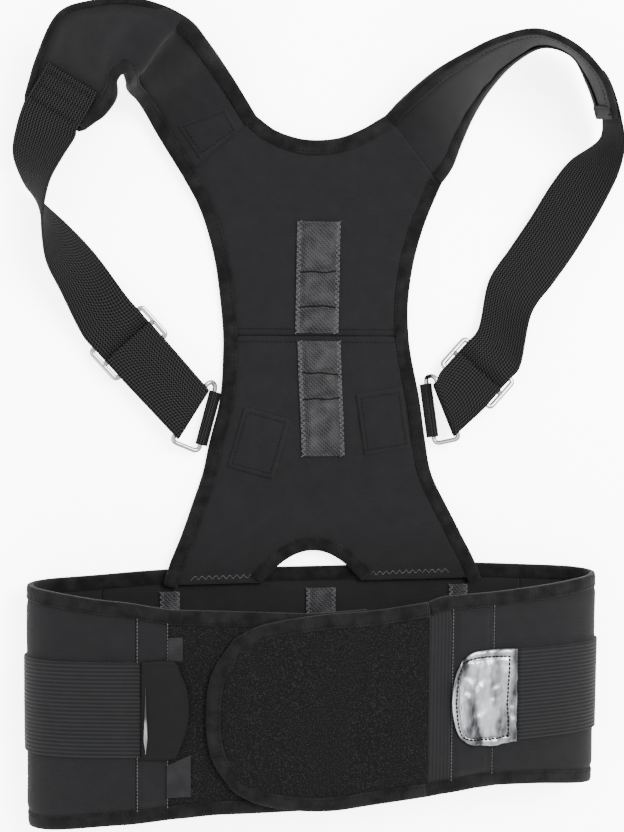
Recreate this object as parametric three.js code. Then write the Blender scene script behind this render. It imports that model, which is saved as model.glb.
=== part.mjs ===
// Back and shoulder posture corrector: a padded back panel with two shoulder pads, webbing loops on
// metal sliders and rings, and a waist belt whose right wing laps over the left one.
// Millimetres, +Z up, origin under the middle of the belt's back, +Y towards the neck.
import * as THREE from "three";

// Waist belt
const BELT_HALF = 187.5;       // middle of the wall at the side folds
const BELT_HEIGHT = 152;
const BELT_RISE = 54;          // middle of the front wall above the middle of the back wall
const FOAM = 4.7;              // belt wall
const FLAP_END = -77.4;        // rounded end of the right wing
const FLAP_SEAM = 63.6;        // where the wing's loop pile ends
const TAPE_WIDTH = 15;         // ribbed tape over that seam
const CASING_WIDTH = 29.5;     // boned casing beside the tape
const LEFT_CASING = -121.5;    // outer edge of the left casing
const LEFT_CASING_WIDTH = 19.5;
const LAP_FADE = 70;           // length over which the right wing comes down to the wall
const LEFT_FADE = 45;          // and over which the left one goes in, before the flap's end
const LEFT_OVER = 5;
const LEFT_END = 24;           // hidden end of the left wing
const BACK_CASING = 0.523 * BELT_HALF;  // middle of the casings inside the back
const BACK_CASING_WIDTH = 13;
const BAND_WIDTH = 60;         // elastic side band
const BAND_THICK = 1.6;
const RIGHT_BAND_END = 124.5;
const LEFT_BAND_END = -118.5;
const BAND_ROOT = 0.945;       // share of the half width where the bands are sewn to the back
const TAB_GAP = 0.4;
const TAB_ROUND = 16;
const TAB_LENGTH = 46;
const TAB_HEIGHT = 62;
const TAB_THICK = 2.4;
const LEFT_TAB_LENGTH = 29;

// Bound edges
const EDGE = 2;                // foam pressed thin inside the binding
const TAPE = 0.9;
const REACH = 8;               // binding seen on each face
const CLEAR = 0.35;
const BIND_HALF = EDGE / 2 + CLEAR + TAPE;
const NOSE = 0.7;              // share of the tape's thickness that it stands out past the edge

// Back panel
const PANEL = 3.6;
const HEM_Y = 70;
const SEAM_Y = 233.6;
const NECK_Y = 359.5;
const PRONG_Y = 335;           // arm side corner under each shoulder pad
const WAIST_HALF = 61.2;       // half width at the seam
const PRONG_RISE = 8;
const NECK_HALF = 44;          // half distance between the pads along the neck
const NECK_DEPTH = 16;
const PANEL_MID_X = 1;
const ARCH_HALF = 35;
const ARCH_HEIGHT = 22;
const ARCH_X = -3.8;

// Shoulder pads and webbing
const PAD_WIDTH = 58;
const PAD = 3.6;
const PAD_EDGE = 1.3;
const LOOP_REACH = 187;        // straps' greatest distance from the middle
const LOOP_HEAD = 70;          // top of the loops above the pads' roots
const LOOP_RISE = 58;
const WEB_WIDTH = 38;
const WEB = 1.6;
const WEB_LAP = 25;            // length sewn on the pad
const WIRE = 3.2;
const RING_LENGTH = 46;        // between the short bars' middles
const RING_WIDTH = 13;         // between the long bars' middles
const ANCHOR_WIDTH = 36;
const ANCHOR_THICK = 1.3;
const ANCHOR_LEG = 5;
const SLIDER_LENGTH = 47;
const SLIDER_WIDTH = 27;
const SLIDER_THICK = 1.8;
const SLIDER_BAR = 3.4;
const WEAVE = SLIDER_THICK / 2 + CLEAR + WEB / 2;

// Magnet pockets and patches
const MAGNET_WIDTH = 29;
const MAGNET_THICK = 3.4;
const CLOTH = 0.9;
const PATCH_WIDTH = 32;
const PATCH_HEIGHT = 41;
const BELT_STRIP = 20;
const POCKETS = 3;

// Steps between rows of points
const BEND_WEIGHT = 0.7;       // extra rows for each step of bend
const SIDE_STEP = 24;
const PAD_STEP = 13.5;
const WEB_STEP = 10;

// Slider plate
const PLATE_CORNER = 3;
const PLATE_BEVEL = 0.3;
const SLOT_SPARE = 1;          // slot longer than the webbing is wide, at each end
const LEAD = 9;                // straight webbing before the slider
const LEAVE = 4;               // and after its last bar

const CHARCOAL = { color: 0x323234, roughness: 0.95, metalness: 0 };
const BINDING = { color: 0x222224, roughness: 0.9, metalness: 0 };
const PILE = { color: 0x262628, roughness: 1, metalness: 0 };
const WEBBING = { color: 0x28282a, roughness: 0.85, metalness: 0 };
const NICKEL = { color: 0xc9c9cc, roughness: 0.2, metalness: 1 };
const SILVER = { color: 0xb9bbbf, roughness: 0.4, metalness: 0.2 };

const V = (x, y, z = 0) => new THREE.Vector3(x, y, z);
const deg = THREE.MathUtils.degToRad;
const ease = (a, b, x) => THREE.MathUtils.smoothstep(x, a, b);
const mix = THREE.MathUtils.lerp;

const group = new THREE.Group();
function add(name, geometry, look) {
  geometry.computeVertexNormals();
  const mesh = new THREE.Mesh(geometry, new THREE.MeshStandardMaterial(look));
  mesh.name = name;
  group.add(mesh);
  return mesh;
}

// A closed body from points and triangles, turned so that its faces point out
function body(points, tris) {
  let six = 0;
  for (const [a, b, c] of tris) six += points[a].dot(V(0, 0).crossVectors(points[b], points[c]));
  const index = six < 0 ? tris.map(([a, b, c]) => [a, c, b]) : tris;
  const g = new THREE.BufferGeometry().setFromPoints(points);
  g.setIndex(index.flat());
  return g;
}

// Skin through equal rings of points, capped at the ends unless it closes on itself
function skin(rings, loop = false, outline = null) {
  const m = rings[0].length, n = rings.length, tris = [];
  for (let i = 0; i < (loop ? n : n - 1); i++) {
    const a = i * m, b = ((i + 1) % n) * m;
    for (let j = 0; j < m; j++) {
      const k = (j + 1) % m;
      if (outline && outline[k].x > outline[j].x) tris.push([a + j, a + k, b + j], [a + k, b + k, b + j]);
      else tris.push([a + j, a + k, b + k], [a + j, b + k, b + j]);
    }
  }
  if (!loop) {
    const cap = THREE.ShapeUtils.triangulateShape(outline, []);
    const turned = THREE.ShapeUtils.area(outline) < 0;
    for (const [p, q, r] of cap) {
      const [x, y, z] = turned ? [p, r, q] : [p, q, r];
      tris.push([x, z, y], [x + (n - 1) * m, y + (n - 1) * m, z + (n - 1) * m]);
    }
  }
  return body(rings.flat(), fixCaps(tris, m, n, loop));
}

// Caps take the winding that shares each rim edge once in each direction
function fixCaps(tris, m, n, loop) {
  if (loop) return tris;
  const walls = new Set(), sideCount = 2 * m * (n - 1);
  for (const t of tris.slice(0, sideCount)) {
    for (let i = 0; i < 3; i++) walls.add(`${t[i]},${t[(i + 1) % 3]}`);
  }
  const fix = (list) => {
    const clash = list.some((t) => [0, 1, 2].some((i) => walls.has(`${t[i]},${t[(i + 1) % 3]}`)));
    return clash ? list.map(([a, b, c]) => [a, c, b]) : list;
  };
  const caps = tris.slice(sideCount);
  const first = caps.filter((t) => t[0] < m), last = caps.filter((t) => t[0] >= m);
  return [...tris.slice(0, sideCount), ...fix(first), ...fix(last)];
}

// Sheet over a grid of points with its own thickness at each point; lift moves it along its normal
function gridNormals(P) {
  const nu = P.length, nv = P[0].length;
  return P.map((row, i) => row.map((p, j) => {
    const a = P[Math.min(i + 1, nu - 1)][j], b = P[Math.max(i - 1, 0)][j];
    const c = P[i][Math.min(j + 1, nv - 1)], d = P[i][Math.max(j - 1, 0)];
    return a.clone().sub(b).cross(c.clone().sub(d)).normalize();
  }));
}
function sheet(P, T, lift = 0) {
  const N = gridNormals(P), nu = P.length, nv = P[0].length;
  const points = [], tris = [];
  const low = (i, j) => (i * nv + j) * 2, top = (i, j) => low(i, j) + 1;
  for (let i = 0; i < nu; i++) {
    for (let j = 0; j < nv; j++) {
      const [down, up] = T(i, j);
      points.push(P[i][j].clone().addScaledVector(N[i][j], lift - down));
      points.push(P[i][j].clone().addScaledVector(N[i][j], lift + up));
    }
  }
  const quad = (a, b, c, d) => tris.push([a, b, c], [a, c, d]);
  for (let i = 0; i < nu - 1; i++) {
    for (let j = 0; j < nv - 1; j++) {
      quad(top(i, j), top(i + 1, j), top(i + 1, j + 1), top(i, j + 1));
      quad(low(i, j), low(i, j + 1), low(i + 1, j + 1), low(i + 1, j));
    }
  }
  for (let i = 0; i < nu - 1; i++) {
    quad(low(i, 0), low(i + 1, 0), top(i + 1, 0), top(i, 0));
    quad(top(i, nv - 1), top(i + 1, nv - 1), low(i + 1, nv - 1), low(i, nv - 1));
  }
  for (let j = 0; j < nv - 1; j++) {
    quad(top(0, j), top(0, j + 1), low(0, j + 1), low(0, j));
    quad(low(nu - 1, j), low(nu - 1, j + 1), top(nu - 1, j + 1), top(nu - 1, j));
  }
  return body(points, tris);
}

// Shares of a length: fine lines beside a bound end, even ones between
function lines(length, count, boundStart, boundEnd, skew = 1) {
  const a = (skew * (REACH + 1)) / length, b = (skew * (REACH + 1) + 3) / length, out = [];
  const from = boundStart ? b : 0, to = boundEnd ? 1 - b : 1;
  if (boundStart) out.push(0, a);
  for (let i = 0; i <= count; i++) out.push(mix(from, to, i / count));
  if (boundEnd) out.push(1 - a, 1);
  return out;
}

// Half thickness of foam: thin within the binding on the bound sides
function foam(thick, us, vs, [u0, u1, v0, v1], pressed = EDGE) {
  return (i, j) => {
    const thin = (u0 && i < 2) || (u1 && i > us.length - 3) || (v0 && j < 2) || (v1 && j > vs.length - 3);
    const half = (thin ? pressed : thick) / 2;
    return [half, half];
  };
}

// Folded tape around an edge: stations hold the edge point p, its face normal n and outward side e
const CHANNEL = (() => {
  const h = EDGE / 2 + CLEAR, H = BIND_HALF, c = CLEAR, t = TAPE;
  return [[-REACH, h], [c, h], [c, -h], [-REACH, -h], [-REACH, -H], [c + t * NOSE, -H], [c + t * NOSE, H],
    [-REACH, H]];
})();
function sweep(stations, section) {
  const rings = stations.map(({ p, n, e }) => section.map(([u, v]) =>
    p.clone().addScaledVector(e, u).addScaledVector(n, v)));
  return skin(rings, false, section.map(([u, v]) => new THREE.Vector2(u, v)));
}
function edgeStations(points, normals, inside) {
  return points.map((p, i) => {
    const t = points[Math.min(i + 1, points.length - 1)].clone().sub(points[Math.max(i - 1, 0)]);
    const e = t.cross(normals[i]).normalize();
    if (e.dot(inside[i].clone().sub(p)) > 0) e.negate();
    const n = normals[i].clone().addScaledVector(e, -normals[i].dot(e)).normalize();
    return { p, n, e };
  });
}
function gridEdge(P, side) {
  const N = gridNormals(P), nu = P.length, nv = P[0].length;
  const walk = {
    v0: [...Array(nu).keys()].map((i) => [i, 0, i, 1]),
    v1: [...Array(nu).keys()].map((i) => [i, nv - 1, i, nv - 2]),
    u0: [...Array(nv).keys()].map((j) => [0, j, 1, j]),
    u1: [...Array(nv).keys()].map((j) => [nu - 1, j, nu - 2, j]),
  }[side];
  return walk.map(([i, j, k, l]) => ({ p: P[i][j], n: N[i][j], q: P[k][l] }));
}
// Ends of a run drawn in, so that the next binding starts clear of it
function trim(list, gap) {
  const draw = (a, b) => ({ ...a, p: a.p.clone().addScaledVector(b.p.clone().sub(a.p).normalize(), gap) });
  return [draw(list[0], list[1]), ...list.slice(1, -1), draw(list.at(-1), list.at(-2))];
}
const stationsOf = (list) => edgeStations(list.map((s) => s.p), list.map((s) => s.n), list.map((s) => s.q));
// The same along a straight-lined grid: the tape follows the grid's own lines
const ruledStations = (list) => list.map(({ p, n, q }) => {
  const e = p.clone().sub(q).normalize();
  return { p, e, n: n.clone().addScaledVector(e, -n.dot(e)).normalize() };
});

// Smooth curve through a short table, read at a share of its own points
function through(points) {
  const curve = new THREE.CatmullRomCurve3(points, false, "centripetal");
  return (t) => curve.getPoint(THREE.MathUtils.clamp(t, 0, 1));
}
// Value of a smooth table column at x
function column(table, xs, ys) {
  return (x) => {
    let k = 0;
    while (k < table.length - 2 && x > table[k + 1][xs]) k++;
    const a = table[k], b = table[k + 1];
    return mix(a[ys], b[ys], ease(a[xs], b[xs], x) * 0.35
      + 0.65 * THREE.MathUtils.clamp((x - a[xs]) / (b[xs] - a[xs]), 0, 1));
  };
}

// Belt wall: section of the right half from the middle of the back to the middle of the front
const BELT_SECTION = [
  { side: 0, up: 0 }, { side: 0.28, up: 0 }, { side: 0.56, up: 0 }, { side: 0.78, up: 0 },
  { side: 0.88, up: 0.02 }, { side: 0.95, up: 0.09 }, { side: 0.987, up: 0.2 }, { side: 1, up: 0.32 },
  { side: 0.99, up: 0.45 }, { side: 0.955, up: 0.57 }, { side: 0.88, up: 0.68 }, { side: 0.75, up: 0.785 },
  { side: 0.56, up: 0.885 }, { side: 0.3, up: 0.97 }, { side: 0, up: 1 },
];
const beltCurve = (() => {
  const half = BELT_SECTION.map(({ side, up }) => V(side * BELT_HALF, 0, FOAM / 2 + up * BELT_RISE));
  const left = half.slice(1, -1).reverse().map((p) => V(-p.x, 0, p.z));
  return new THREE.CatmullRomCurve3([...half, ...left], true, "centripetal");
})();
const BELT_AROUND = 720;
const beltPoints = beltCurve.getSpacedPoints(BELT_AROUND);
// Place on the wall at a share of the way round, 0 at the back's middle and 0.5 at the front's
function wall(s) {
  const f = (((s % 1) + 1) % 1) * BELT_AROUND, k = Math.floor(f), w = f - k;
  const p = beltPoints[k].clone().lerp(beltPoints[k + 1], w);
  const t = beltPoints[Math.min(k + 2, BELT_AROUND)].clone().sub(beltPoints[Math.max(k - 1, 0)]).normalize();
  const flat = Math.abs(p.x) < 0.78 * BELT_HALF && p.z < FOAM;
  return flat ? { p: V(p.x, 0, FOAM / 2), n: V(0, 0, -1) } : { p, n: V(t.z, 0, -t.x) };
}
function around(x, front) {
  let best = 0, gap = Infinity;
  for (let k = 0; k < BELT_AROUND; k++) {
    const q = beltPoints[k], onFront = k > BELT_AROUND / 4 && k < (BELT_AROUND * 3) / 4;
    if (onFront === front && Math.abs(q.x - x) < gap) [gap, best] = [Math.abs(q.x - x), k];
  }
  return best / BELT_AROUND;
}

// Edges of the belt, as shares of half its height, at shares of its half width along the front
const FRONT_EDGES = [
  { at: -1, top: 0.955, foot: -1.035 }, { at: -0.7, top: 0.875, foot: -0.965 },
  { at: -0.52, top: 0.805, foot: -0.92 }, { at: -0.37, top: 0.79, foot: -0.897 },
  { at: -0.06, top: 0.755, foot: -0.89 }, { at: 0.28, top: 0.79, foot: -0.828 },
  { at: 0.4, top: 0.875, foot: -0.8 }, { at: 0.57, top: 0.885, foot: -0.772 },
  { at: 1, top: 0.95, foot: -0.85 },
];
const BACK_EDGE = 1.03;
const frontTop = column(FRONT_EDGES, "at", "top"), frontFoot = column(FRONT_EDGES, "at", "foot");
const EDGE_FROM = around(BELT_HALF * 0.5, false), EDGE_TO = around(BELT_HALF * 0.75, true);
const half = BELT_HEIGHT / 2;
// Top and foot of the belt at a share of the way round
function edges(s) {
  const { p } = wall(s), share = p.x / BELT_HALF;
  const turn = ((s % 1) + 1) % 1, up = ease(EDGE_FROM, EDGE_TO, Math.min(turn, 1 - turn));
  return [half * mix(-BACK_EDGE, frontFoot(share), up), half * mix(BACK_EDGE, frontTop(share), up)];
}
// Where the wings lap, the right one lies over the left one
const LAP = (FOAM + 2 * BIND_HALF) / 4 + CLEAR / 2;
const lapRight = (x) => LAP * (1 - ease(FLAP_SEAM, FLAP_SEAM + LAP_FADE, x));
const lapLeft = (x) => -LAP * ease(FLAP_END - LEFT_FADE, FLAP_END + LEFT_OVER, x);

// Grid over the wall between two places, with the belt's own edges or a band of fixed height
function evenShares(metric, step) {
  const FINE = 200, run = [0];
  for (let k = 1; k <= FINE; k++) run.push(run[k - 1] + metric((k - 1) / FINE, k / FINE));
  const count = Math.max(2, Math.ceil(run[FINE] / step));
  return [...Array(count + 1).keys()].map((i) => {
    let k = 0;
    while (k < FINE - 1 && run[k + 1] < (i / count) * run[FINE]) k++;
    return (k + ((i / count) * run[FINE] - run[k]) / (run[k + 1] - run[k])) / FINE;
  });
}
function wallGrid(s0, s1, step, vs, { lap = () => 0, span = edges } = {}) {
  const bend = (a, b) => {
    const p = wall(mix(s0, s1, a)), q = wall(mix(s0, s1, b));
    return p.p.distanceTo(q.p) + BEND_WEIGHT * step * p.n.angleTo(q.n) * 4;
  };
  return evenShares(bend, step).map((u) => {
    const s = mix(s0, s1, u), { p, n } = wall(s), [foot, top] = span(s);
    const q = p.clone().addScaledVector(n, p.z > BELT_RISE / 2 ? lap(p.x) : 0);
    return vs.map((v) => V(q.x, mix(foot, top, v), q.z));
  });
}
const beltRows = lines(BELT_HEIGHT * 0.85, 2, true, true);
const GAP_SHARE = CLEAR / 2 / beltCurve.getLength();
const FLAT_SHARE = 0.76;       // share of the half width where the back lies flat

const sBackR = around(BELT_HALF * FLAT_SHARE, false), sBackL = around(-BELT_HALF * FLAT_SHARE, false);
const sCasingR = around(FLAP_SEAM + TAPE_WIDTH + CASING_WIDTH, true);
const sTapeR = around(FLAP_SEAM + TAPE_WIDTH, true), sSeamR = around(FLAP_SEAM, true);
const sCasingL = around(LEFT_CASING, true), sLoopL = around(LEFT_CASING + LEFT_CASING_WIDTH, true);
const sEndL = around(LEFT_END, true);

// Sleeves of the wall, one after the other, each with its bound top and foot
const sleeves = [
  ["belt_back", sBackL - 1, sBackR, 30, CHARCOAL, {}],
  ["belt_side_right", sBackR, sCasingR, SIDE_STEP, CHARCOAL, { lap: lapRight }],
  ["front_casing_right", sCasingR, sTapeR, 9, CHARCOAL, { lap: lapRight }],
  ["seam_tape_right", sTapeR, sSeamR, TAPE_WIDTH, WEBBING, { lap: lapRight }],
  ["belt_side_left", sBackL, sCasingL, SIDE_STEP, CHARCOAL, { lap: lapLeft }],
  ["front_casing_left", sCasingL, sLoopL, 8, CHARCOAL, { lap: lapLeft }],
  ["front_panel_left", sLoopL, sEndL, 15, PILE, { lap: lapLeft }],
];
const sleeveGrids = {};
for (const [name, a, b, step, look, options] of sleeves) {
  const sign = Math.sign(b - a), boned = name.startsWith("front_casing");
  const P = wallGrid(a + sign * GAP_SHARE, b - sign * GAP_SHARE, step, beltRows, options);
  sleeveGrids[name] = P;
  const T = foam(FOAM, P, beltRows, [false, false, true, true]);
  add(name, sheet(P, boned ? (i, j) => {
    const [down, up] = T(i, j), bulge = up > EDGE && i > 0 && i < P.length - 1 ? CLOTH : 0;
    return sign > 0 ? [down + bulge, up] : [down, up + bulge];
  } : T), look);
}

// Flap: the right wing's loop pile, square at the seam and round at its free end
const flapLength = FLAP_SEAM - FLAP_END;
const FLAP_OUTLINE = [
  { back: 0, up: 0 }, { back: 0.25, up: 0 }, { back: 0.45, up: 0 }, { back: 0.62, up: -0.035 },
  { back: 0.78, up: -0.11 }, { back: 0.88, up: -0.22 },
];
function flapPoint(x, y) {
  const near = wallAt(x);
  return V(near.p.x + near.n.x * LAP, y, near.p.z + near.n.z * LAP);
}
function wallAt(x) {
  let a = 0.3, b = 0.7;
  for (let k = 0; k < 30; k++) {
    const m = (a + b) / 2;
    if (wall(m).p.x > x) a = m; else b = m;
  }
  return wall((a + b) / 2);
}
const flapTop = through(FLAP_OUTLINE.map(({ back, up }) => {
  const x = FLAP_SEAM - CLEAR - back * flapLength;
  return V(x, half * (frontTop(x / BELT_HALF) + up), 0);
}));
const flapFoot = through(FLAP_OUTLINE.map(({ back, up }) => {
  const x = FLAP_SEAM - CLEAR - back * flapLength;
  return V(x, half * (frontFoot(x / BELT_HALF) - up * 0.95), 0);
}));
const endTop = flapTop(1), endFoot = flapFoot(1);
const flapEnd = through([endFoot, V(FLAP_END + 3.4, mix(endFoot.y, endTop.y, 0.22)),
  V(FLAP_END, mix(endFoot.y, endTop.y, 0.5)), V(FLAP_END + 3.4, mix(endFoot.y, endTop.y, 0.78)), endTop]);
const seamLine = (v) => V(FLAP_SEAM - CLEAR, mix(flapFoot(0).y, flapTop(0).y, v));
function coons(left, right, foot, top, us, vs) {
  return us.map((u) => vs.map((v) => {
    const a = left(v).multiplyScalar(1 - u).addScaledVector(right(v), u);
    const b = foot(u).multiplyScalar(1 - v).addScaledVector(top(u), v);
    const c = left(0).multiplyScalar((1 - u) * (1 - v)).addScaledVector(right(0), u * (1 - v))
      .addScaledVector(left(1), (1 - u) * v).addScaledVector(right(1), u * v);
    return a.add(b).sub(c);
  }));
}
const flapUs = lines(flapLength, 7, false, true, 2.2);
const flapVs = lines(BELT_HEIGHT * 0.6, 4, true, true, 2.2);
const flapPlan = coons(seamLine, flapEnd, flapFoot, flapTop, flapUs, flapVs);
const flapGrid = flapPlan.map((row) => row.map((p) => flapPoint(p.x, p.y)));
add("front_flap", sheet(flapGrid, foam(FOAM, flapUs, flapVs, [false, true, true, true])), PILE);
const flapRim = [...gridEdge(flapGrid, "v0"), ...gridEdge(flapGrid, "u1").slice(1, -1),
  ...gridEdge(flapGrid, "v1").reverse()];
add("flap_binding", sweep(stationsOf(trim(flapRim, 2 * CLEAR)), CHANNEL), BINDING);

// Belt binding along the top and the foot, from the left wing's hidden end round to the flap
for (const [name, side] of [["belt_binding_top", "v1"], ["belt_binding_bottom", "v0"]]) {
  const run = ["front_panel_left", "front_casing_left", "belt_side_left"].flatMap((n) =>
    gridEdge([...sleeveGrids[n]].reverse(), side).slice(0, -1));
  run.push(...["belt_back", "belt_side_right", "front_casing_right", "seam_tape_right"].flatMap((n, i) =>
    gridEdge(sleeveGrids[n], side).slice(i ? 1 : 0)));
  add(name, sweep(stationsOf(run), CHANNEL), BINDING);
}

// Elastic bands over the side folds, from the pull tabs to where the wall leaves the surface
const bandSpan = () => [-BAND_WIDTH / 2, BAND_WIDTH / 2];
const BAND_LIFT = FOAM / 2 + 2 * CLEAR + BAND_THICK / 2;
for (const [name, x, side, lap] of [
  ["elastic_band_right", RIGHT_BAND_END, 1, lapRight], ["elastic_band_left", LEFT_BAND_END, -1, lapLeft]]) {
  const from = around(side * BELT_HALF * BAND_ROOT, false), to = around(x + side * TAB_GAP, true);
  const P = wallGrid(from, to, SIDE_STEP, [0, 0.5, 1], { lap, span: bandSpan });
  add(name, sheet(P, () => [BAND_THICK / 2, BAND_THICK / 2], -side * BAND_LIFT), WEBBING);
}

// Pull tabs: a straight side at the band and a round free end
const TAB_LIFT = FOAM / 2 + CLOTH + CLEAR + TAB_THICK / 2;
function tab(name, x0, length, towards, lap, look) {
  const end = x0 + towards * length, h = TAB_HEIGHT / 2;
  const straight = (v) => V(x0, mix(-h, h, v));
  const round = (v) => {
    const a = mix(-0.5, 0.5, v) * Math.PI * 0.62;
    const y = (Math.sin(a) / Math.sin(0.31 * Math.PI)) * h * 0.84;
    return V(end - towards * (1 - Math.cos(a)) * TAB_ROUND, y);
  };
  const rim = (sy) => through([V(x0, sy * h), V(mix(x0, end, 0.45), sy * h * 1.02),
    V(mix(x0, end, 0.72), sy * h * 0.97), round(sy > 0 ? 1 : 0)]);
  const us = [0, 0.3, 0.6, 0.8, 1], vs = [0, 0.12, 0.3, 0.5, 0.7, 0.88, 1];
  const plan = coons(straight, round, rim(-1), rim(1), us, vs);
  const P = plan.map((row) => row.map((p) => {
    const { p: q, n } = wallAt(p.x);
    return V(q.x + n.x * lap(p.x), p.y, q.z + n.z * lap(p.x));
  }));
  add(name, sheet(P, () => [TAB_THICK / 2, TAB_THICK / 2], towards * TAB_LIFT), look);
}
tab("pull_tab_right", RIGHT_BAND_END, TAB_LENGTH, -1, lapRight, SILVER);
tab("pull_tab_left", LEFT_BAND_END, LEFT_TAB_LENGTH, 1, lapLeft, WEBBING);

// Side shapes of the back panel, as shares of the half waist, from the hem up to the pads
const PANEL_SIDE = [
  { up: 0, left: 1.67, right: 1.81 }, { up: 0.05, left: 1.605, right: 1.72 },
  { up: 0.11, left: 1.5, right: 1.58 }, { up: 0.19, left: 1.37, right: 1.405 },
  { up: 0.27, left: 1.25, right: 1.245 }, { up: 0.35, left: 1.175, right: 1.175 },
  { up: 0.46, left: 1.06, right: 1.1 }, { up: 0.57, left: 1.03, right: 1 },
  { up: 0.62, left: 1.03, right: 0.97 }, { up: 0.7, left: 1.06, right: 0.96 },
  { up: 0.8, left: 1.12, right: 1.015 }, { up: 0.88, left: 1.21, right: 1.105 },
  { up: 0.94, left: 1.31, right: 1.195 }, { up: 1, left: 1.46, right: 1.3 },
];
const sideY = (up) => mix(HEM_Y, PRONG_Y, up);
const sideCurve = (key, sign) => new THREE.CatmullRomCurve3(PANEL_SIDE.map((row) =>
  V(PANEL_MID_X + sign * row[key] * WAIST_HALF, sideY(row.up))), false, "centripetal");
const leftSide = sideCurve("left", -1), rightSide = sideCurve("right", 1);
function sideAt(curve, y) {
  let a = 0, b = 1;
  for (let k = 0; k < 30; k++) {
    const m = (a + b) / 2;
    if (curve.getPoint(m).y > y) b = m; else a = m;
  }
  return (a + b) / 2;
}

// The panel lies on the surface, over the belt's back at its hem, and lifts towards the pads
const HEM_Z = FOAM / 2 + 2 * BIND_HALF + CLEAR;
function panelZ(y) {
  return mix(HEM_Z, BIND_HALF, ease(HEM_Y + ARCH_HEIGHT + REACH, HEM_Y + ARCH_HEIGHT + 5 * REACH, y))
    + PRONG_RISE * ease(PRONG_Y - 35, PRONG_Y + 40, y);
}
const laid = (p) => V(p.x, p.y, panelZ(p.y));

// Neck edge, as shares of its half width and depth, between the corners of the two prongs
const NECK = [
  { across: -1, up: 0.9 }, { across: -0.72, up: 0.37 }, { across: -0.4, up: 0.08 },
  { across: -0.1, up: 0 }, { across: 0.28, up: 0.13 }, { across: 0.61, up: 0.49 },
  { across: 0.98, up: 1.1 },
].map(({ across, up }) => V(across * NECK_HALF, NECK_Y + up * NECK_DEPTH));
const neckCurve = through(NECK);
const PRONG = 0.29;            // share of the top taken by each prong
const leftCorner = leftSide.getPoint(1), rightCorner = rightSide.getPoint(1);
const panelTop = (u) => {
  if (u < PRONG) return leftCorner.clone().lerp(NECK[0], u / PRONG);
  if (u > 1 - PRONG) return NECK.at(-1).clone().lerp(rightCorner, (u - 1 + PRONG) / PRONG);
  return neckCurve((u - PRONG) / (1 - 2 * PRONG));
};
const ARCH = 0.33;             // share of the hem on each side of the arch
const panelFoot = (u) => {
  const foot = (v) => V(mix(leftSide.getPoint(0).x, rightSide.getPoint(0).x, v), HEM_Y);
  if (u < ARCH) return foot(0).lerp(V(ARCH_X - ARCH_HALF, HEM_Y), u / ARCH);
  if (u > 1 - ARCH) return V(ARCH_X + ARCH_HALF, HEM_Y).lerp(foot(1), (u - 1 + ARCH) / ARCH);
  const a = mix(-1, 1, (u - ARCH) / (1 - 2 * ARCH));
  return V(ARCH_X + a * ARCH_HALF, HEM_Y + ARCH_HEIGHT * (1 - a * a));
};
const seam = (gap) => (u) => {
  const [a, b] = [leftSide, rightSide].map((curve) => curve.getPoint(sideAt(curve, SEAM_Y + gap)));
  return a.lerp(b, u);
};
function panelLines(corner, length) {
  const a = (REACH + 1) / length, b = (REACH + 4) / length;
  const inner = [0, 0.25, 0.5, 0.75, 1].map((k) => mix(corner, 1 - corner, k));
  return [0, a, b, ...inner, 1 - b, 1 - a, 1];
}
const sideRun = (curve, from, to) => (v) => curve.getPoint(sideAt(curve, mix(from, to, v)));
function panel(name, us, vs, foot, top, from, to) {
  const left = sideRun(leftSide, from, to), right = sideRun(rightSide, from, to);
  const P = coons(left, right, foot, top, us, vs).map((row) => row.map(laid));
  const bound = [true, true, name.endsWith("lower"), name.endsWith("upper")];
  add(name, sheet(P, foam(PANEL, us, vs, bound)), CHARCOAL);
  return P;
}
const waist = 2 * WAIST_HALF;
const upperUs = panelLines(PRONG, waist), lowerUs = panelLines(ARCH, waist);
const upperGrid = panel("back_panel_upper", upperUs, lines(SEAM_Y * 0.46, 6, false, true),
  seam(CLEAR / 2), panelTop, SEAM_Y + CLEAR / 2, PRONG_Y);
const lowerGrid = panel("back_panel_lower", lowerUs, lines((SEAM_Y - HEM_Y) * 0.85, 7, true, false),
  panelFoot, seam(-CLEAR / 2), HEM_Y, SEAM_Y - CLEAR / 2);
for (const [name, side] of [["left_side_binding", "u0"], ["right_side_binding", "u1"]]) {
  const run = [...gridEdge(lowerGrid, side).slice(0, -1), ...gridEdge(upperGrid, side).slice(1)];
  add(name, sweep(ruledStations(trim(run, CLEAR)), CHANNEL), BINDING);
}
const between = (list, a, b) => list.slice(a, list.length - b);
const neckRun = between(gridEdge(upperGrid, "v1"), 3, 3);
add("neck_binding", sweep(ruledStations(trim(neckRun, 3 * CLEAR)), CHANNEL), BINDING);
const archRun = between(gridEdge(lowerGrid, "v0"), 3, 3);
add("arch_binding", sweep(ruledStations(trim(archRun, CLEAR)), CHANNEL), BINDING);

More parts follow.
